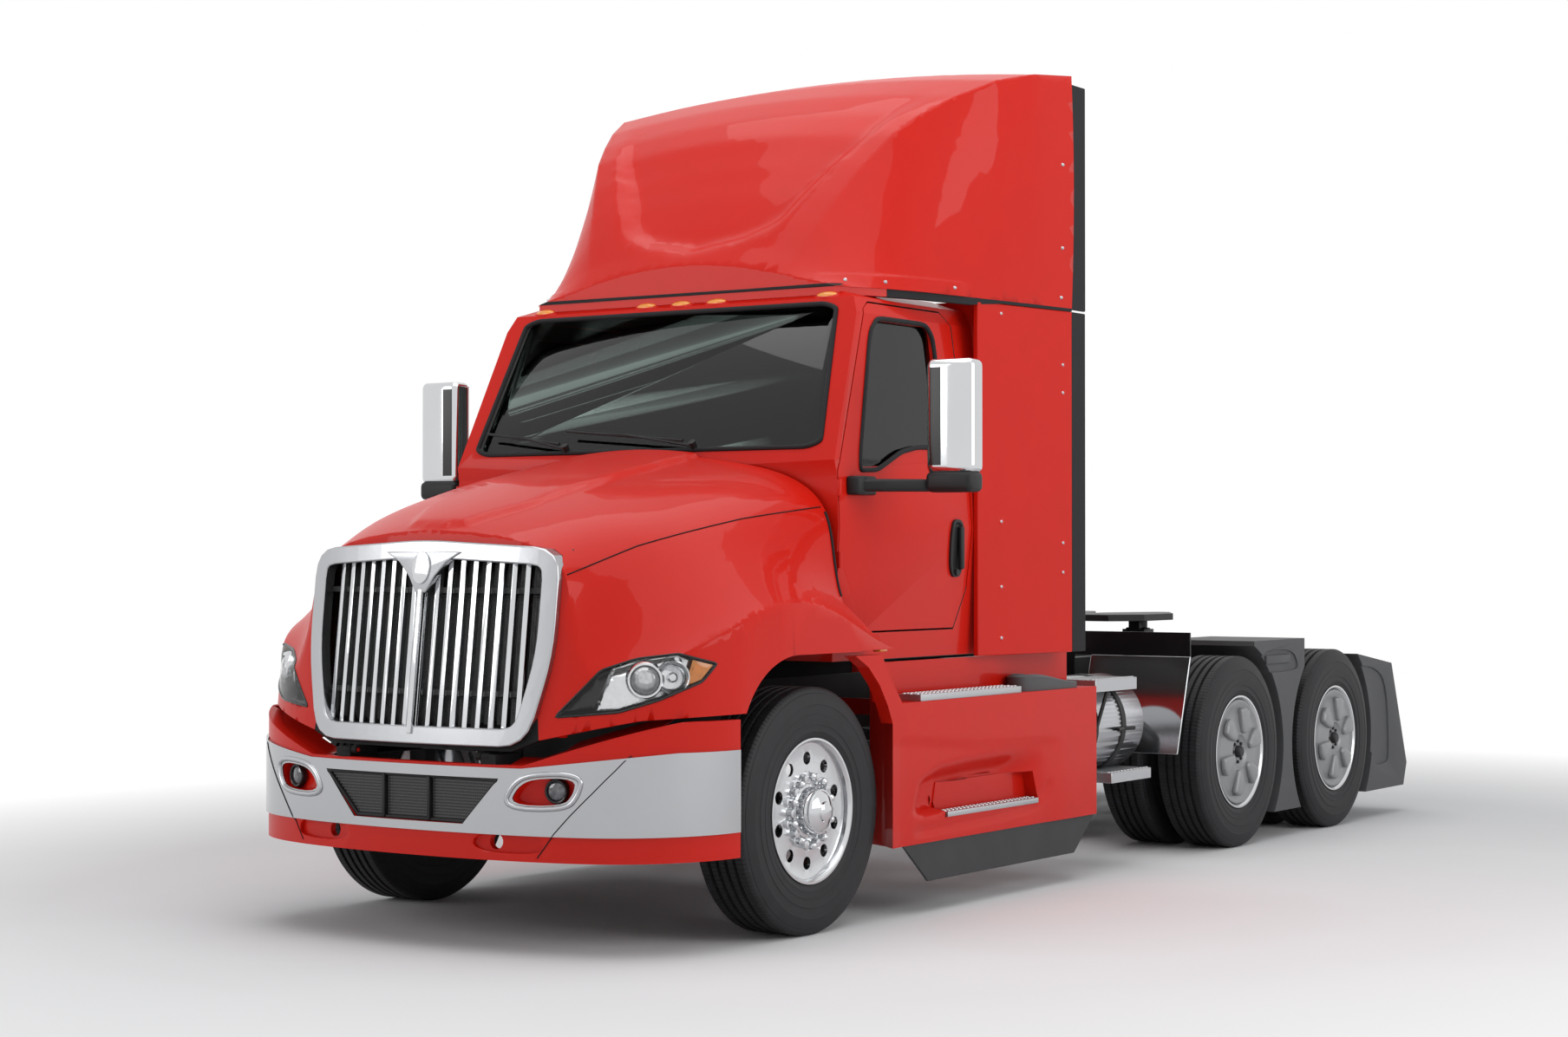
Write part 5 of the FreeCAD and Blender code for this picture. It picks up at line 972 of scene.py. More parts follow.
class TRACTOR_OT_fairing(bpy.types.Operator):
    """Roof fairing with its scooped face, base flange, rubber, closing panel and screws"""

    bl_idname = "tractor.fairing"
    bl_label = "Roof Fairing"

    rim_low = [(0.0, 2.955), (0.25, 2.995), (0.44, 3.060), (0.60, 3.300), (1.20, 4.200)]
    floor_low = [(0.0, 3.045), (0.27, 3.095), (0.40, 3.165), (0.56, 3.360), (1.20, 4.300)]
    rim_half = [(2.90, 0.430), (3.060, 0.445), (3.325, 0.592), (3.617, 0.794), (3.788, 0.940), (4.0, 1.10)]
    floor_half = [(2.90, 0.350), (3.171, 0.395), (3.342, 0.535), (3.617, 0.745), (3.788, 0.900), (4.0, 1.06)]

    def hollow(self, x, z):
        """Depth of the scoop at a place on the fairing's face."""
        x = abs(x)
        rise = (z - along(self.rim_low, x)) / max(0.02, along(self.floor_low, x) - along(self.rim_low, x))
        room = (along(self.rim_half, z) - x) / (along(self.rim_half, z) - along(self.floor_half, z))
        return 0.052 * eased(min(rise, room)) * eased((3.80 - z) / 0.45)

    def flange(self, co):
        """Height of the base flange on the fairing's flank."""
        if abs(co.x) < 0.72:
            return 0.0
        back = co.y - front_axle
        return 0.009 * eased((2.838 - co.z) / 0.014) * eased((back - 0.60) / 0.03) * eased((1.42 - back) / 0.10)

    def execute(self, context):
        heights = steps_between(2.93, 3.84, 0.035) + [2.82, 2.826, 2.832, 2.838, 2.845]
        backs = [setback(at) for at in steps_between(0.72, 2.14, 0.071)]
        shape = outward(bendable("roof_fairing", (0, steps_between(-1.14, 1.14, 0.038)), (2, heights), (1, backs)))
        for vert in shape.verts:
            co = vert.co.copy()
            vert.co += Vector((0.0, 0.80, -0.60)) * max(0.0, self.hollow(co.x, co.z))
            vert.co.x += math.copysign(self.flange(co), co.x)
        relaxed(shape, 5, lambda co: co.z > 2.86)
        add_piece("roof_fairing_shell", shape, "paint", replaced="roof_fairing", crease=32.0)
        self.base()
        strip = merged_copy("roof_fairing")
        cut(strip, (0, 0, 2.7665), (0, 0, 1), clear_inner=True)
        cut(strip, (0, 0, 2.7790), (0, 0, 1), clear_outer=True)
        cut(strip, (0, setback(1.28), 0), (0, 1, 0), clear_outer=True)
        dropped(strip, lambda centre, normal: normal.x * centre.x + normal.y * (centre.y - setback(1.6)) <= 0.0)
        bmesh.ops.solidify(strip, geom=strip.faces[:], thickness=-0.004)
        add_piece("fairing_base_strip", strip, "rubber", crease=30.0)
        flank = surface_of("roof_fairing")
        heads = bmesh.new()
        spots = ((0.72, 2.800), (0.88, 2.797), (1.30, 2.800), (2.10, 2.812), (2.10, 3.05), (2.10, 3.45))
        domes(heads, flank, spots, sizes().rivet_radius * 0.9, 0.009)
        for vert in heads.verts:
            vert.co.x += math.copysign(self.flange(vert.co), vert.co.x)
        add_piece("fairing_screws", outward(heads), "aluminium")
        return {"FINISHED"}

    def base(self):
        """Rubber under the fairing's rim down to the roof."""
        shape = dropped(merged_copy("roof_fairing"), lambda centre, normal: normal.z > -0.9 or centre.z > 2.770)
        for vert in only_verts(bmesh.ops.extrude_face_region(shape, geom=shape.faces[:])["geom"]):
            vert.co.z -= 0.034 - 0.0192 * eased((vert.co.y - setback(1.48)) / 0.10)
        marked(outward(shape), lambda centre, normal: centre.y > setback(0.90))
        add_piece("fairing_base_rubber", shape, ("paint", "rubber"), crease=30.0)
        panel = bmesh.new()
        box_shape(panel, (-1.075, setback(1.582), 2.50), (1.075, setback(1.597), 2.764), 0.004)
        add_piece("fairing_closing_panel", outward(panel), "paint")


class TRACTOR_OT_hood(bpy.types.Operator):
    """Hood and fenders with the raised centre, side seams and rear edge strip"""

    bl_idname = "tractor.hood"
    bl_label = "Hood"

    crown = [(-1.2, 0.0), (-1.06, 0.075), (-1.03, 0.165), (-0.78, 0.29), (-0.41, 0.35), (0.25, 0.362)]

    def lift(self, co):
        """Height of the raised centre over the plain hood."""
        back = co.y - front_axle
        half = along(self.crown, back)
        if co.z < 1.45 or half <= 0.0:
            return 0.0
        return 0.019 * eased((half - abs(co.x)) / 0.036) * eased((back + 1.085) / 0.05)

    def execute(self, context):
        backs = [setback(at) for at in steps_between(-1.12, 0.28, 0.05) + [-1.08, -1.055]]
        shape = bendable("hood_shell", (0, steps_between(-0.42, 0.42, 0.021)), (1, backs))
        surface = surface_of("hood_shell")

        def inner(centre, normal):
            if (centre.z < 0.905 and abs(centre.x) < 0.60) or (normal.z < -0.5 and abs(centre.x) < 1.15
                                                               and centre.z > 0.96):
                return True
            if centre.z < 0.97 and centre.y < setback(-0.50) and normal.y < 0.3:
                return False
            hit, _, _, distance = surface.ray_cast(centre + normal * 0.004, normal)
            return hit is not None and distance > 0.5

        marked(shape, inner)
        for vert in shape.verts:
            vert.co.z += self.lift(vert.co)
        relaxed(shape, 3, lambda co: co.z > 1.50 and abs(co.x) < 0.42 and co.y < setback(0.2))
        add_piece("hood_shell_shaped", shape, ("paint", "underbody"), "hood", replaced="hood_shell", crease=30.0)
        seam = [(0.668, -1.026, 1.499), (0.727, -0.873, 1.557), (0.785, -0.727, 1.612), (0.862, -0.479, 1.672),
                (0.923, -0.203, 1.724), (0.985, 0.081, 1.762), (1.0, 0.292, 1.78)]
        for hand, side in hands:
            tube_on("hood_seam_" + hand, surface, [(side * (x + 0.3), setback(y), z + 0.12) for x, y, z in seam],
                    (-side * 0.93, 0, -0.37), 0.0026, "gap_black", "hood", sink=0.3)
            edge = [(side * 1.5, setback(0.285), z) for z in (1.400, 1.500, 1.600, 1.700, 1.760)]
            tube_on("hood_edge_strip_" + hand, surface, edge, (-side, 0, 0), 0.006, "rubber", "hood", sink=0.35)
            lamp = bmesh.new()
            box_shape(lamp, (1.125, setback(0.500), 1.160), (1.165, setback(0.560), 1.178), 0.005)
            add_piece("fender_lamp_" + hand, sided(lamp, side), "amber", "hood")
        return {"FINISHED"}


class TRACTOR_OT_cab(bpy.types.Operator):
    """Cab shell with dark inside, glass with its border and seals, wipers and marker lamps"""

    bl_idname = "tractor.cab"
    bl_label = "Cab"

    def pane_point(self, x, height, out):
        """Place on the windshield's plane; height runs from 0 at the cowl to 1 at the roof."""
        foot, head = Vector((0.0, setback(0.305), 1.985)), Vector((0.0, setback(0.618), 2.715))
        rise = head - foot
        normal = Vector((0.0, -rise.z, rise.y)).normalized()
        place = foot + rise * height + normal * out
        return (x, place.y, place.z)

    def execute(self, context):
        middle = Vector((0.0, setback(0.96), 1.95))

        def inner(centre, normal):
            inside = normal.dot((middle - centre).normalized()) > 0.25 and abs(centre.x) < 1.03 and centre.z < 2.72
            return inside or (normal.z < -0.9 and centre.z < 1.2)

        add_piece("cab_shell_painted", marked(merged_copy("cab_shell"), inner), ("paint", "cab_inside"),
                  replaced="cab_shell", crease=30.0, edge=0.014, segments=3)
        panes = marked(merged_copy("cab_glass"), lambda centre, normal: centre.y > setback(1.2))
        add_piece("cab_panes", panes, ("pane", "rear_pane"), replaced="cab_glass")
        border = bmesh.new()
        outline = softened([self.pane_point(x, height, -0.016) for x, height in ((-0.958, 0.088), (0.958, 0.088),
                    (0.868, 0.955), (-0.868, 0.955))], 0.06)
        face = border.faces.new([border.verts.new(point) for point in outline])
        ring = bmesh.ops.inset_region(border, faces=[face], thickness=0.042, use_boundary=True)["faces"]
        bmesh.ops.delete(border, geom=[face], context="FACES_ONLY")
        bmesh.ops.solidify(border, geom=ring, thickness=0.006)
        add_piece("windshield_border", outward(border), "gloss_black")
        for name, radius, points in (
            ("windshield_seal", 0.011, [self.pane_point(x, height, 0.001) for x, height in
                                        ((-0.968, 0.080), (0.968, 0.080), (0.876, 0.962), (-0.876, 0.962))]),
            ("rear_window_seal", 0.014, [(x, setback(1.598), z) for x, z in
                                         ((-0.56, 2.0), (0.56, 2.0), (0.56, 2.48), (-0.56, 2.48))]),
        ):
            loop = softened(points, 0.035)
            smooth_path(name, thickened(loop + loop[:1], 0.06)[:-1], radius, "rubber", sides=3, closed=True)
        self.wipers()
        self.markers()
        return {"FINISHED"}

    def wipers(self):
        shape = bmesh.new()
        low = 0.170
        for x, tip in ((0.300, -0.420), (-0.420, -0.900)):
            pivot = Vector(self.pane_point(x, 0.095, 0.018))
            elbow = Vector(self.pane_point(x + (tip - x) * 0.55, low, 0.030))
            rod_shape(shape, pivot - Vector((0.0, -0.012, 0.006)), pivot + Vector((0.0, -0.008, 0.018)), 0.016, 16)
            rod_shape(shape, pivot, elbow, 0.008, 10, 0.005)
            ends = [Vector(self.pane_point(x + (tip - x) * share, height, 0.024))
                    for share, height in ((0.08, low - 0.045), (1.02, low + 0.035))]
            rod_shape(shape, ends[0], ends[1], 0.0065, 8)
            for share in (0.30, 0.80):
                rod_shape(shape, ends[0].lerp(ends[1], share), elbow, 0.004, 8)
        add_piece("wipers", outward(shape), "trim_black")

    def markers(self):
        lamps, rings = bmesh.new(), bmesh.new()
        cab = surface_of("cab_shell")
        for x in (-0.80, -0.20, 0.0, 0.20, 0.80):
            place, up = laid(cab, (x, setback(0.642), 3.0), (0, 0, -1))
            across = (Vector((1.0, 0.0, 0.0)) - up * up.x).normalized()
            turn = Matrix((across, up.cross(across), up)).transposed().to_4x4()
            for shape, scale in ((lamps, (0.054, 0.023, 0.015)), (rings, (0.064, 0.031, 0.006))):
                made = bmesh.ops.create_uvsphere(shape, u_segments=32, v_segments=12, radius=1.0)["verts"]
                bmesh.ops.transform(shape, verts=made, matrix=Matrix.Translation(place) @ turn
                            @ Matrix.Diagonal((*scale, 1.0)))
        add_piece("marker_lenses", outward(lamps), "amber", replaced="marker_lamps")
        add_piece("marker_bases", outward(rings), "paint")


class TRACTOR_OT_doors(bpy.types.Operator):
    """Doors with dark inner trim, window seals, handles and locks"""

    bl_idname = "tractor.doors"
    bl_label = "Doors"

    flank = [(1.70, 1.068), (1.985, 1.056), (2.64, 0.990)]

    def execute(self, context):
        for hand, side in hands:
            body = "door_" + hand
            shape = marked(merged_copy(body), lambda centre, normal: normal.x * side < -0.6)
            add_piece(body + "_painted", shape, ("paint", "cab_inside"), body, replaced=body, crease=30.0,
                      edge=0.006)
            skin("door_glass_" + hand, "pane", body)
            surface = surface_of(body)
            window = softened([(0.492, 1.944), (0.65, 1.95), (0.86, 2.035), (1.0, 2.06), (1.244, 2.064),
                        (1.218, 2.625), (0.697, 2.625)], 0.1)
            places = []
            for back, z, _ in thickened([(*point, 0.0) for point in window + window[:1]], 0.05)[:-1]:
                place, normal = laid(surface, (side * 1.5, setback(back), z), (-side, 0, 0))
                if place is None or abs(place.x) < 0.90:
                    place = Vector((side * along(self.flank, z), setback(back), z))
                places.append(place)
            smooth_path("window_seal_" + hand, places, sizes().seal_width / 2, "rubber", body, sides=3, closed=True)
            sill = bmesh.new()
            outline = [(0.64, 1.946), (0.86, 2.035), (1.0, 2.06), (1.25, 2.064), (1.252, 1.988), (0.9, 1.968)]
            plate_shape(sill, [(side * (along(self.flank, z) - 0.0015), setback(back), z) for back, z in outline],
                        (-side * 0.016, 0.0, 0.0))
            add_piece("window_sill_" + hand, outward(sill), "paint", body)
            self.handle(hand, side, surface)
        return {"FINISHED"}

    def handle(self, hand, side, surface):
        bezel = bmesh.new()
        outline = []
        for turn in turns(36):
            reach = 1.0 / (abs(math.cos(turn)) ** 3.0 + abs(math.sin(turn)) ** 3.0) ** (1 / 3.0)
            back, z = 1.315 + 0.058 * reach * math.cos(turn), 1.608 + 0.132 * reach * math.sin(turn)
            place, _ = laid(surface, (side * 1.5, setback(back), z), (-side, 0, 0))
            outline.append(place - Vector((side * 0.002, 0.0, 0.0)))
        ringed(bezel, outline, [(width, (side * push, 0.0, 0.0))
                                for width, push in ((0.003, 0.013), (0.013, 0.002), (0.01, -0.008))])
        add_piece("door_handle_bezel_" + hand, outward(bezel), "trim_black", "door_" + hand)
        grip = bmesh.new()
        x = side * 1.070
        low, high = sorted((x, x + side * 0.022))
        box_shape(grip, (low, setback(1.322), 1.512), (high, setback(1.352), 1.706), 0.008, 3)
        rod_shape(grip, (x - side * 0.008, setback(1.312), 1.497), (x + side * 0.008, setback(1.312), 1.497), 0.015)
        add_piece("door_grip_" + hand, outward(grip), "trim_black", "door_" + hand)


class TRACTOR_OT_side_panels(bpy.types.Operator):
    """Side extenders, skirts with their swept recess, step treads, tank fillers, dams, seals and screws"""

    bl_idname = "tractor.side_panels"
    bl_label = "Side Panels and Steps"

    shoulder = [(0.69, 0.785), (1.22, 0.736), (1.96, 0.714), (2.40, 0.700)]
    crest = [(0.75, 0.455), (0.775, 0.487), (0.839, 0.6), (0.985, 0.647), (1.234, 0.672), (1.508, 0.681),
             (1.918, 0.689)]
    lip = [(0.78, 0.363), (1.10, 0.372), (1.50, 0.385), (1.82, 0.405), (1.92, 0.445), (1.957, 0.488)]

    def recess(self, co):
        """Depth of the swept recess over the lower step and of the groove below it."""
        back = co.y - front_axle
        if abs(co.x) < 1.15 or not 0.60 < back < 2.15:
            return 0.0
        depth = 0.007 * eased((along(self.shoulder, back) - co.z) / 0.03) * eased((2.14 - back) / 0.25)
        crest = along(self.crest, back)
        sweep = 0.077 * eased(1.25 * (crest - co.z) / max(0.04, crest - 0.545)) * eased((co.z - 0.436) / 0.012)
        sweep *= eased((back - 0.73) / 0.12) * (1.0 - eased((back - 1.58) / 0.36))
        place = Vector((back, co.z, 0.0))
        lip = [Vector((back, z, 0.0)) for back, z in self.lip]
        near = min((place - nearest_on_run(place, start, end)).length for start, end in zip(lip, lip[1:]))
        return depth + max(sweep, 0.011 * eased(1.0 - near / 0.026))

    def execute(self, context):
        skin("side_extenders", "paint", edge=0.004)
        backs = [setback(at) for at in steps_between(0.62, 2.2, 0.03)]
        shape = bendable("skirts", (1, backs), (2, steps_between(0.325, 0.815, 0.014)))
        marked(shape, lambda centre, normal: normal.z < -0.9 or (abs(centre.x) < 1.12 and abs(normal.x) > 0.8
                                                                 and normal.x * centre.x < 0))
        for vert in shape.verts:
            vert.co.x -= math.copysign(self.recess(vert.co), vert.co.x)
        relaxed(shape, 2, lambda co: 0.33 < co.z < 0.80)
        add_piece("skirts_shaped", shape, ("paint", "underbody"), replaced="skirts", crease=28.0, edge=0.006,
                  segments=2, angle=50.0)
        treads = marked(merged_copy("step_treads"), lambda centre, normal: normal.z < 0.5)
        add_piece("step_treads_punched", treads, ("treads", "aluminium"), replaced="step_treads", edge=0.003)
        edges = bmesh.new()
        for y0, y1, low, high, x in ((0.784, 1.690, 0.935, 0.966, 1.194), (1.016, 1.854, 0.4105, 0.4345, 1.1945)):
            box_shape(edges, (x - 0.004, setback(y0), low), (x + 0.0035, setback(y1), high), 0.002)
        add_piece("tread_edges", twinned(outward(edges)), "aluminium")
        teeth = bmesh.new()
        for y0, y1, x0, x1, z in ((0.80, 1.675, 1.082, 1.186, 0.9655), (1.03, 1.84, 1.128, 1.186, 0.4350),
                                  (2.52, 2.95, 1.122, 1.152, 0.9600), (2.69, 3.11, 1.122, 1.152, 0.4920)):
            rows = max(1, round((x1 - x0) / 0.030))
            for back in steps_between(y0, y1, 0.034):
                for row in range(rows):
                    x = x0 + (row + 0.5) * (x1 - x0) / rows
                    bmesh.ops.create_cone(teeth, cap_ends=True, segments=8, radius1=0.0105, radius2=0.008,
                                depth=0.006, matrix=Matrix.Translation((x, setback(back), z + 0.001)))
        add_piece("tread_teeth", twinned(teeth), "aluminium")
        self.filler()
        skin("side_dams", "dam_grey", edge=0.003)
        skin("rubber_seals", "rubber", edge=0.004)
        surface = surface_of("side_extenders")
        heads, cups = bmesh.new(), bmesh.new()
        spots = ((2.115, 2.49), (2.115, 2.356), (2.115, 1.635), (2.115, 1.494), (1.64, 2.705), (1.64, 1.733),
                 (1.64, 1.429), (1.64, 1.19))
        domes(cups, surface, spots, sizes().rivet_radius * 1.7, 0.0025)
        domes(heads, surface, spots, sizes().rivet_radius * 0.85, 0.007)
        add_piece("panel_cups", outward(cups), "paint")
        add_piece("panel_screws", outward(heads), "aluminium")
        return {"FINISHED"}

    def filler(self):
        ring, cap = bmesh.new(), bmesh.new()
        outline = softened([(1.048, 1.79), (1.15, 1.772), (1.18, 1.84), (1.184, 2.0), (1.19, 2.3), (1.11, 2.31),
                    (1.085, 2.1), (1.04, 1.9)])
        tread_top = 0.9353
        ringed(ring, [(x, setback(back), tread_top) for x, back in outline],
               [(width, (0.0, 0.0, push)) for width, push in ((0.01, 0.046), (0.02, 0.008), (0.012, -0.04))])
        for vert in ring.verts:
            lean = 1.45 - 0.85 * eased((vert.co.y - setback(1.86)) / 0.42)
            vert.co.z = tread_top + (vert.co.z - tread_top) * lean
        add_piece("filler_bezels", twinned(outward(ring)), "fender_grey")
        lathe(cap, [(0.0, 0.034), (0.018, 0.034), (0.02, 0.026), (0.036, 0.024), (0.04, 0.02), (0.042, 0.0)],
              (1.112, setback(1.885), 0.95), (0, 0, 1), 32)
        add_piece("filler_caps", twinned(outward(cap)), "trim_black")


class TRACTOR_OT_tanks(bpy.types.Operator):
    """Tanks with their bands and braces"""

    bl_idname = "tractor.tanks"
    bl_label = "Tanks"

    def execute(self, context):
        skin("tanks", "tank_metal", crease=35.0, edge=0.014)
        bands, braces = bmesh.new(), bmesh.new()
        for back in (2.580, 2.880):
            lathe(bands, [(0.2452, 0.0), (0.2502, 0.003), (0.2502, 0.045), (0.2452, 0.048)],
                  (0.868, setback(back), 0.72), (0, 1, 0), 72)
        add_piece("tank_bands", twinned(outward(bands)), "trim_black")
        for back, high in ((2.600, 0.898), (2.900, 0.700)):
            for shift in (-0.09, 0.09):
                rod_shape(braces, (1.112, setback(back), 0.7), (1.13, setback(back + shift), high), 0.01, 10)
        add_piece("tank_braces", twinned(outward(braces)), "frame_black")
        return {"FINISHED"}


class TRACTOR_OT_fenders(bpy.types.Operator):
    """Moulded and polished fenders round the drive wheels, with their recessed panels"""

    bl_idname = "tractor.fenders"
    bl_label = "Drive Fenders"

    def execute(self, context):
        panels = ([(4.36, 0.958), (4.43, 1.048), (4.83, 1.048), (4.915, 0.958), (4.88, 0.925), (4.395, 0.925)],
                  [(5.755, 0.925), (6.09, 0.9), (6.255, 0.785), (6.29, 0.35), (6.235, 0.315), (6.0, 0.312),
                   (5.98, 0.7), (5.8, 0.8)])
        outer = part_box("wheel_fenders")[1][0]
        reach = 1.402 - outer
        cutters = [prism_shape([(side * (outer - 0.01), setback(back), z) for back, z in softened(outline)],
                               (side * reach, 0.0, 0.0)) for outline in panels for side in (1, -1)]
        shape = carved(merged_copy("wheel_fenders"), cutters)
        add_piece("wheel_fenders_shaped", shape, "fender_grey", replaced="wheel_fenders", crease=30.0, edge=0.01,
                  segments=3)
        grip = bmesh.new()
        box_shape(grip, (outer - 0.012, setback(4.470), 0.972), (outer + 0.004, setback(4.790), 1.020), 0.006, 3)
        add_piece("fender_grips", twinned(outward(grip)), "fender_grey")
        skin("quarter_fenders", "polished", edge=0.002)
        skin("fender_brackets", "gloss_black", edge=0.002)
        return {"FINISHED"}


class TRACTOR_OT_wheel_trims(bpy.types.Operator):
    """Rims, dome nuts, hub covers and the lobed covers of the drive wheels"""

    bl_idname = "tractor.wheel_trims"
    bl_label = "Rims and Covers"

    def execute(self, context):
        for hand, side in hands:
            body = "wheel_front_" + hand
            skin("rim_front_" + hand, "wheel_metal", body, crease=28.0, edge=0.003)
            face_x = side * (front_wheel_x + rim_lip - 0.032)
            trims = bmesh.new()
            for turn in turns(10):
                place = (face_x, front_axle + 0.143 * math.sin(turn), hub_height + 0.143 * math.cos(turn))
                lathe(trims, [(0.0, 0.046), (0.007, 0.045), (0.013, 0.04), (0.0165, 0.031), (0.0175, 0.01),
                            (0.022, 0.006), (0.022, 0.0)], place, (side, 0, 0), 18)
            lathe(trims, [(0.0, 0.106), (0.03, 0.104), (0.04, 0.098), (0.043, 0.09), (0.074, 0.08), (0.09, 0.066),
                        (0.098, 0.04), (0.1, 0.012), (0.112, 0.008), (0.114, 0.0)],
                  (face_x, front_axle, hub_height), (side, 0, 0), 48)
            add_piece("hub_cover_front_" + hand, outward(trims), "polished", body)
            for number, y in drive_centres.items():
                self.drive_cover(number, y, hand, side)
        return {"FINISHED"}

    def drive_cover(self, number, y, hand, side):
        node, body = f"rims_drive_{number}_{hand}", f"wheel_drive_{number}_{hand}"
        skin(node, "wheel_metal", body, crease=28.0, edge=0.003)
        lip_x = side * (outer_wheel_x + rim_lip)
        place = Vector((lip_x, y, hub_height))
        cover = bmesh.new()
        lathe(cover, [(0.281, -0.016), (0.279, -0.006), (0.268, -0.004), (0.255, -0.012), (0.2, -0.004),
                    (0.12, 0.002), (0.092, 0.0), (0.084, -0.012), (0.06, -0.016), (0.0, -0.016)], place,
              (side, 0, 0), 72)
        for turn in turns(6, 0.25):
            out = Vector((0.0, math.sin(turn), math.cos(turn)))
            across = Vector((0.0, math.cos(turn), -math.sin(turn)))
            lobe = [out * reach + across * wide for reach, wide in ((0.1, -0.018), (0.16, -0.052), (0.218, -0.07),
                        (0.24, -0.026), (0.232, 0.034), (0.172, 0.03), (0.102, 0.016))]
            plate_shape(cover, [place + point + Vector((side * -0.01, 0.0, 0.0)) for point in lobe],
                        (side * 0.034, 0.0, 0.0), 0.013, 4)
        add_piece(f"drive_cover_{number}_{hand}", outward(cover), "cover_silver", body, crease=50.0)
        hub = bmesh.new()
        lathe(hub, [(0.0, 0.014), (0.026, 0.012), (0.032, 0.004), (0.033, -0.018)], place, (side, 0, 0), 32)
        for turn in turns(8):
            spot = place + Vector((side * -0.016, 0.056 * math.sin(turn), 0.056 * math.cos(turn)))
            lathe(hub, [(0.0, 0.010), (0.008, 0.009), (0.010, 0.0)], spot, (side, 0, 0), 12)
        add_piece(f"drive_hub_{number}_{hand}", outward(hub), "dark_steel", body)


class TRACTOR_OT_inside(bpy.types.Operator):
    """Dashboard, steering wheel and padded seats"""

    bl_idname = "tractor.inside"
    bl_label = "Cab Inside"

    def pad(self, name, low, high, taper=0.0):
        """Padded cushion swollen by cloth pressure from a slightly smaller block."""
        shape = bmesh.new()
        box_shape(shape, low, high, 0.028, 3)
        middle = (low[0] + high[0]) / 2
        for vert in shape.verts:
            rise = (vert.co.z - low[2]) / (high[2] - low[2])
            vert.co.x = middle + (vert.co.x - middle) * (1.0 - taper * rise)
        piece = placed(name, shape)
        remesh = piece.modifiers.new("voxels", "REMESH")
        remesh.mode = "VOXEL"
        remesh.voxel_size = 0.012
        self.applied(piece)
        frames, most = 16, 0.016
        rest = [vert.co.copy() for vert in piece.data.vertices]
        cloth = piece.modifiers.new("swell", "CLOTH")
        cloth.settings.use_pressure = True
        cloth.settings.uniform_pressure_force = 4.0
        cloth.settings.effector_weights.gravity = 0.0
        cloth.settings.quality = 4
        scene = bpy.context.scene
        for number in range(1, frames + 1):
            scene.frame_set(number)
        self.applied(piece)
        scene.frame_set(1)
        for vert, start in zip(piece.data.vertices, rest):
            move = vert.co - start
            if move.length > most:
                vert.co = start + move.normalized() * most
        piece.data.shade_smooth()
        return piece

    def applied(self, piece):
        evaluated = piece.evaluated_get(bpy.context.evaluated_depsgraph_get())
        mesh = bpy.data.meshes.new_from_object(evaluated)
        piece.modifiers.clear()
        old = piece.data
        piece.data = mesh
        bpy.data.meshes.remove(old)

    def seam(self, piece, across, places, width=0.010, depth=0.008):
        """Sewn channels pressed into the pad across one axis."""
        normals = [vert.normal.copy() for vert in piece.data.vertices]
        for vert, normal in zip(piece.data.vertices, normals):
            for place in places:
                near = 1.0 - abs(vert.co[across] - place) / width
                if near > 0.0:
                    vert.co -= normal * depth * eased(near)

    def execute(self, context):
        skin("dashboard", "cab_inside", edge=0.03)
        skin("steering_wheel", "trim_black", crease=40.0)
        for hand, x in (("left", 0.430), ("right", -0.430)):
            y0 = setback(1.080)
            cushion = self.pad("seat_cushion_" + hand, (x - 0.232, y0 + 0.012, 1.432),
                        (x + 0.232, y0 + 0.318, 1.545))
            back = self.pad("seat_back_" + hand, (x - 0.232, y0 + 0.34, 1.59), (x + 0.232, y0 + 0.444, 2.258), 0.22)
            self.seam(cushion, 0, (x - 0.145, x + 0.145))
            self.seam(back, 0, (x - 0.130, x + 0.130))
            self.seam(back, 2, (1.860, 2.080))
            for piece in (cushion, back):
                piece.data.materials.append(finishes["fabric"])
                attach(piece, "chassis")
            if hand == "left":
                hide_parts("seats")
            frame_shape = bmesh.new()
            for half, front, rear, low, high, edge in (
                (0.20, 0.02, 0.440, 1.395, 1.436, 0.010), (0.150, 0.075, 0.385, 1.181, 1.400, 0.012),
                (0.16, 0.438, 0.458, 1.400, 2.150, 0.008), (0.16, 0.30, 0.450, 1.430, 1.600, 0.012),
            ):
                box_shape(frame_shape, (x - half, y0 + front, low), (x + half, y0 + rear, high), edge)
            add_piece("seat_frame_" + hand, outward(frame_shape), "trim_black")
        return {"FINISHED"}


# Tyres


def tyre_profile(grooves):
    """Half section of a tyre as (across, radius) points, bead to tread middle."""
    side = [(0.111, 0.292), (0.12, 0.3), (0.124, 0.306), (0.121, 0.309), (0.1285, 0.328), (0.13, 0.329),
            (0.1308, 0.333), (0.13, 0.337), (0.133, 0.358), (0.1348, 0.359), (0.135, 0.366), (0.1338, 0.367),
            (0.1352, 0.385), (0.136, 0.4), (0.134, 0.402), (0.134, 0.44), (0.1355, 0.442), (0.131, 0.466),
            (0.124, 0.488), (0.1215, 0.49), (0.119, 0.502), (0.112, 0.5115), (0.106, 0.515)]
    depth, width = 0.014, 0.009
    pitch = 0.212 / (grooves + 1)
    for index in range(grooves // 2):
        middle = 0.106 - pitch * (index + 1)
        side += [(middle + width * share, 0.515 - drop)
                 for share, drop in ((1.0, 0.0), (0.6, depth), (-0.6, depth), (-1.0, 0.0))]
    return side


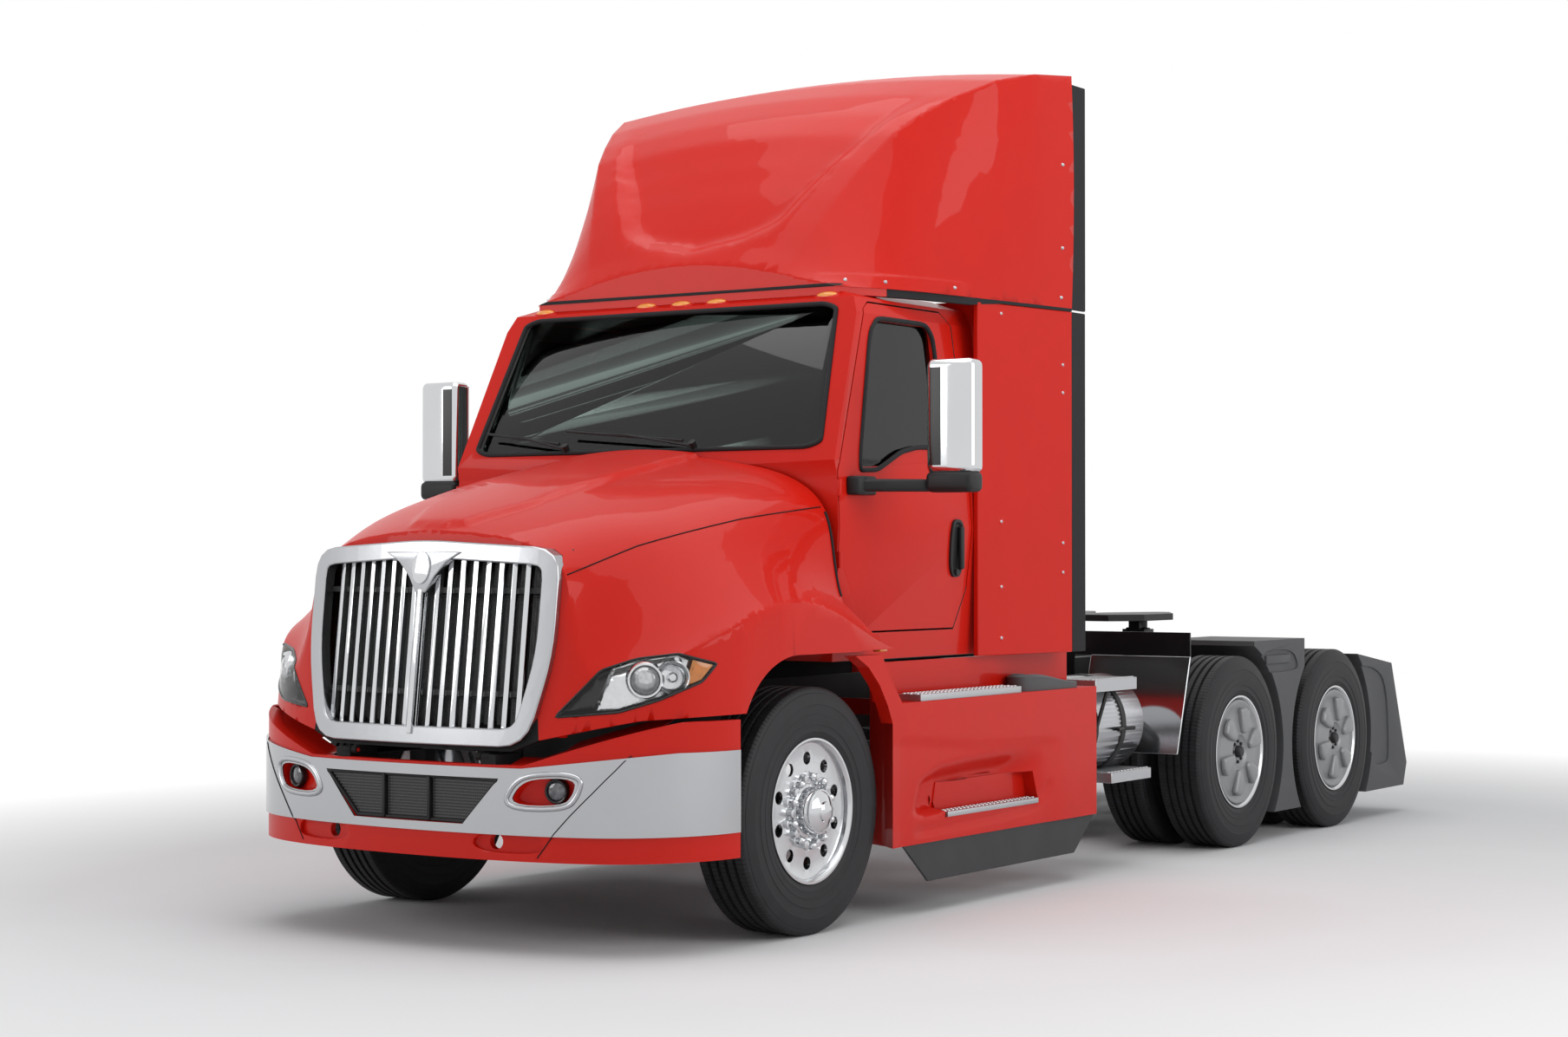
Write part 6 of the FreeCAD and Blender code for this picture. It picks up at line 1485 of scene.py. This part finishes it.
def add_tyre(shape, x, y):
    """Closed section turned about the axle."""
    half = tyre_profile(sizes().rib_grooves)
    section = half + [(-across, radius) for across, radius in reversed(half)]
    verts = [shape.verts.new((x + across, y, hub_height + radius)) for across, radius in section]
    edges = [shape.edges.new(pair) for pair in zip(verts, verts[1:] + verts[:1])]
    bmesh.ops.spin(shape, geom=verts + edges, cent=(x, y, hub_height), axis=(1.0, 0.0, 0.0), angle=2 * math.pi,
                steps=96, use_merge=True)
    bmesh.ops.remove_doubles(shape, verts=shape.verts, dist=1e-6)


class TRACTOR_OT_tyres(bpy.types.Operator):
    """Ten tyres with ribbed treads"""

    bl_idname = "tractor.tyres"
    bl_label = "Tyres"

    def execute(self, context):
        for hand, side in hands:
            shape = bmesh.new()
            add_tyre(shape, side * front_wheel_x, front_axle)
            add_piece(f"tyre_front_{hand}_ribbed", outward(shape), "tyre_front", "wheel_front_" + hand,
                      replaced="tyre_front_" + hand, crease=28.0)
            for number, y in drive_centres.items():
                shape = bmesh.new()
                add_tyre(shape, side * outer_wheel_x, y)
                add_tyre(shape, side * inner_wheel_x, y)
                add_piece(f"tyres_drive_{number}_{hand}_ribbed", outward(shape), f"tyre_drive_{number}",
                          f"wheel_drive_{number}_{hand}", replaced=f"tyres_drive_{number}_{hand}", crease=28.0)
        return {"FINISHED"}


pieces_in_order = (TRACTOR_OT_stage, TRACTOR_OT_running_gear, TRACTOR_OT_nose, TRACTOR_OT_headlamps,
            TRACTOR_OT_bumper, TRACTOR_OT_mirrors, TRACTOR_OT_fairing, TRACTOR_OT_hood, TRACTOR_OT_cab,
            TRACTOR_OT_doors, TRACTOR_OT_side_panels, TRACTOR_OT_tanks, TRACTOR_OT_fenders, TRACTOR_OT_wheel_trims,
            TRACTOR_OT_inside, TRACTOR_OT_tyres)


class TRACTOR_PT_sidebar(bpy.types.Panel):
    """Lists the tractor unit's pieces, colours and sizes"""

    bl_idname = "TRACTOR_PT_sidebar"
    bl_label = "Tractor Unit"
    bl_space_type = "VIEW_3D"
    bl_region_type = "UI"
    bl_category = "Tractor"

    def draw(self, context):
        column = self.layout.column(align=True)
        for maker in pieces_in_order:
            column.operator(maker.bl_idname)
        for group in (context.scene.tractor_colours, context.scene.tractor_sizes):
            box = self.layout.box()
            for name in group.__annotations__:
                box.prop(group, name)


classes = (TractorColours, TractorSizes) + pieces_in_order + (TRACTOR_PT_sidebar,)


def register():
    for item in classes:
        bpy.utils.register_class(item)
    bpy.types.Scene.tractor_colours = PointerProperty(type=TractorColours)
    bpy.types.Scene.tractor_sizes = PointerProperty(type=TractorSizes)


def unregister():
    del bpy.types.Scene.tractor_sizes
    del bpy.types.Scene.tractor_colours
    for item in reversed(classes):
        bpy.utils.unregister_class(item)


def main():
    register()
    make_finishes()
    for maker in pieces_in_order:
        group, name = maker.bl_idname.split(".")
        getattr(getattr(bpy.ops, group), name)()


if __name__ == "__main__":
    main()
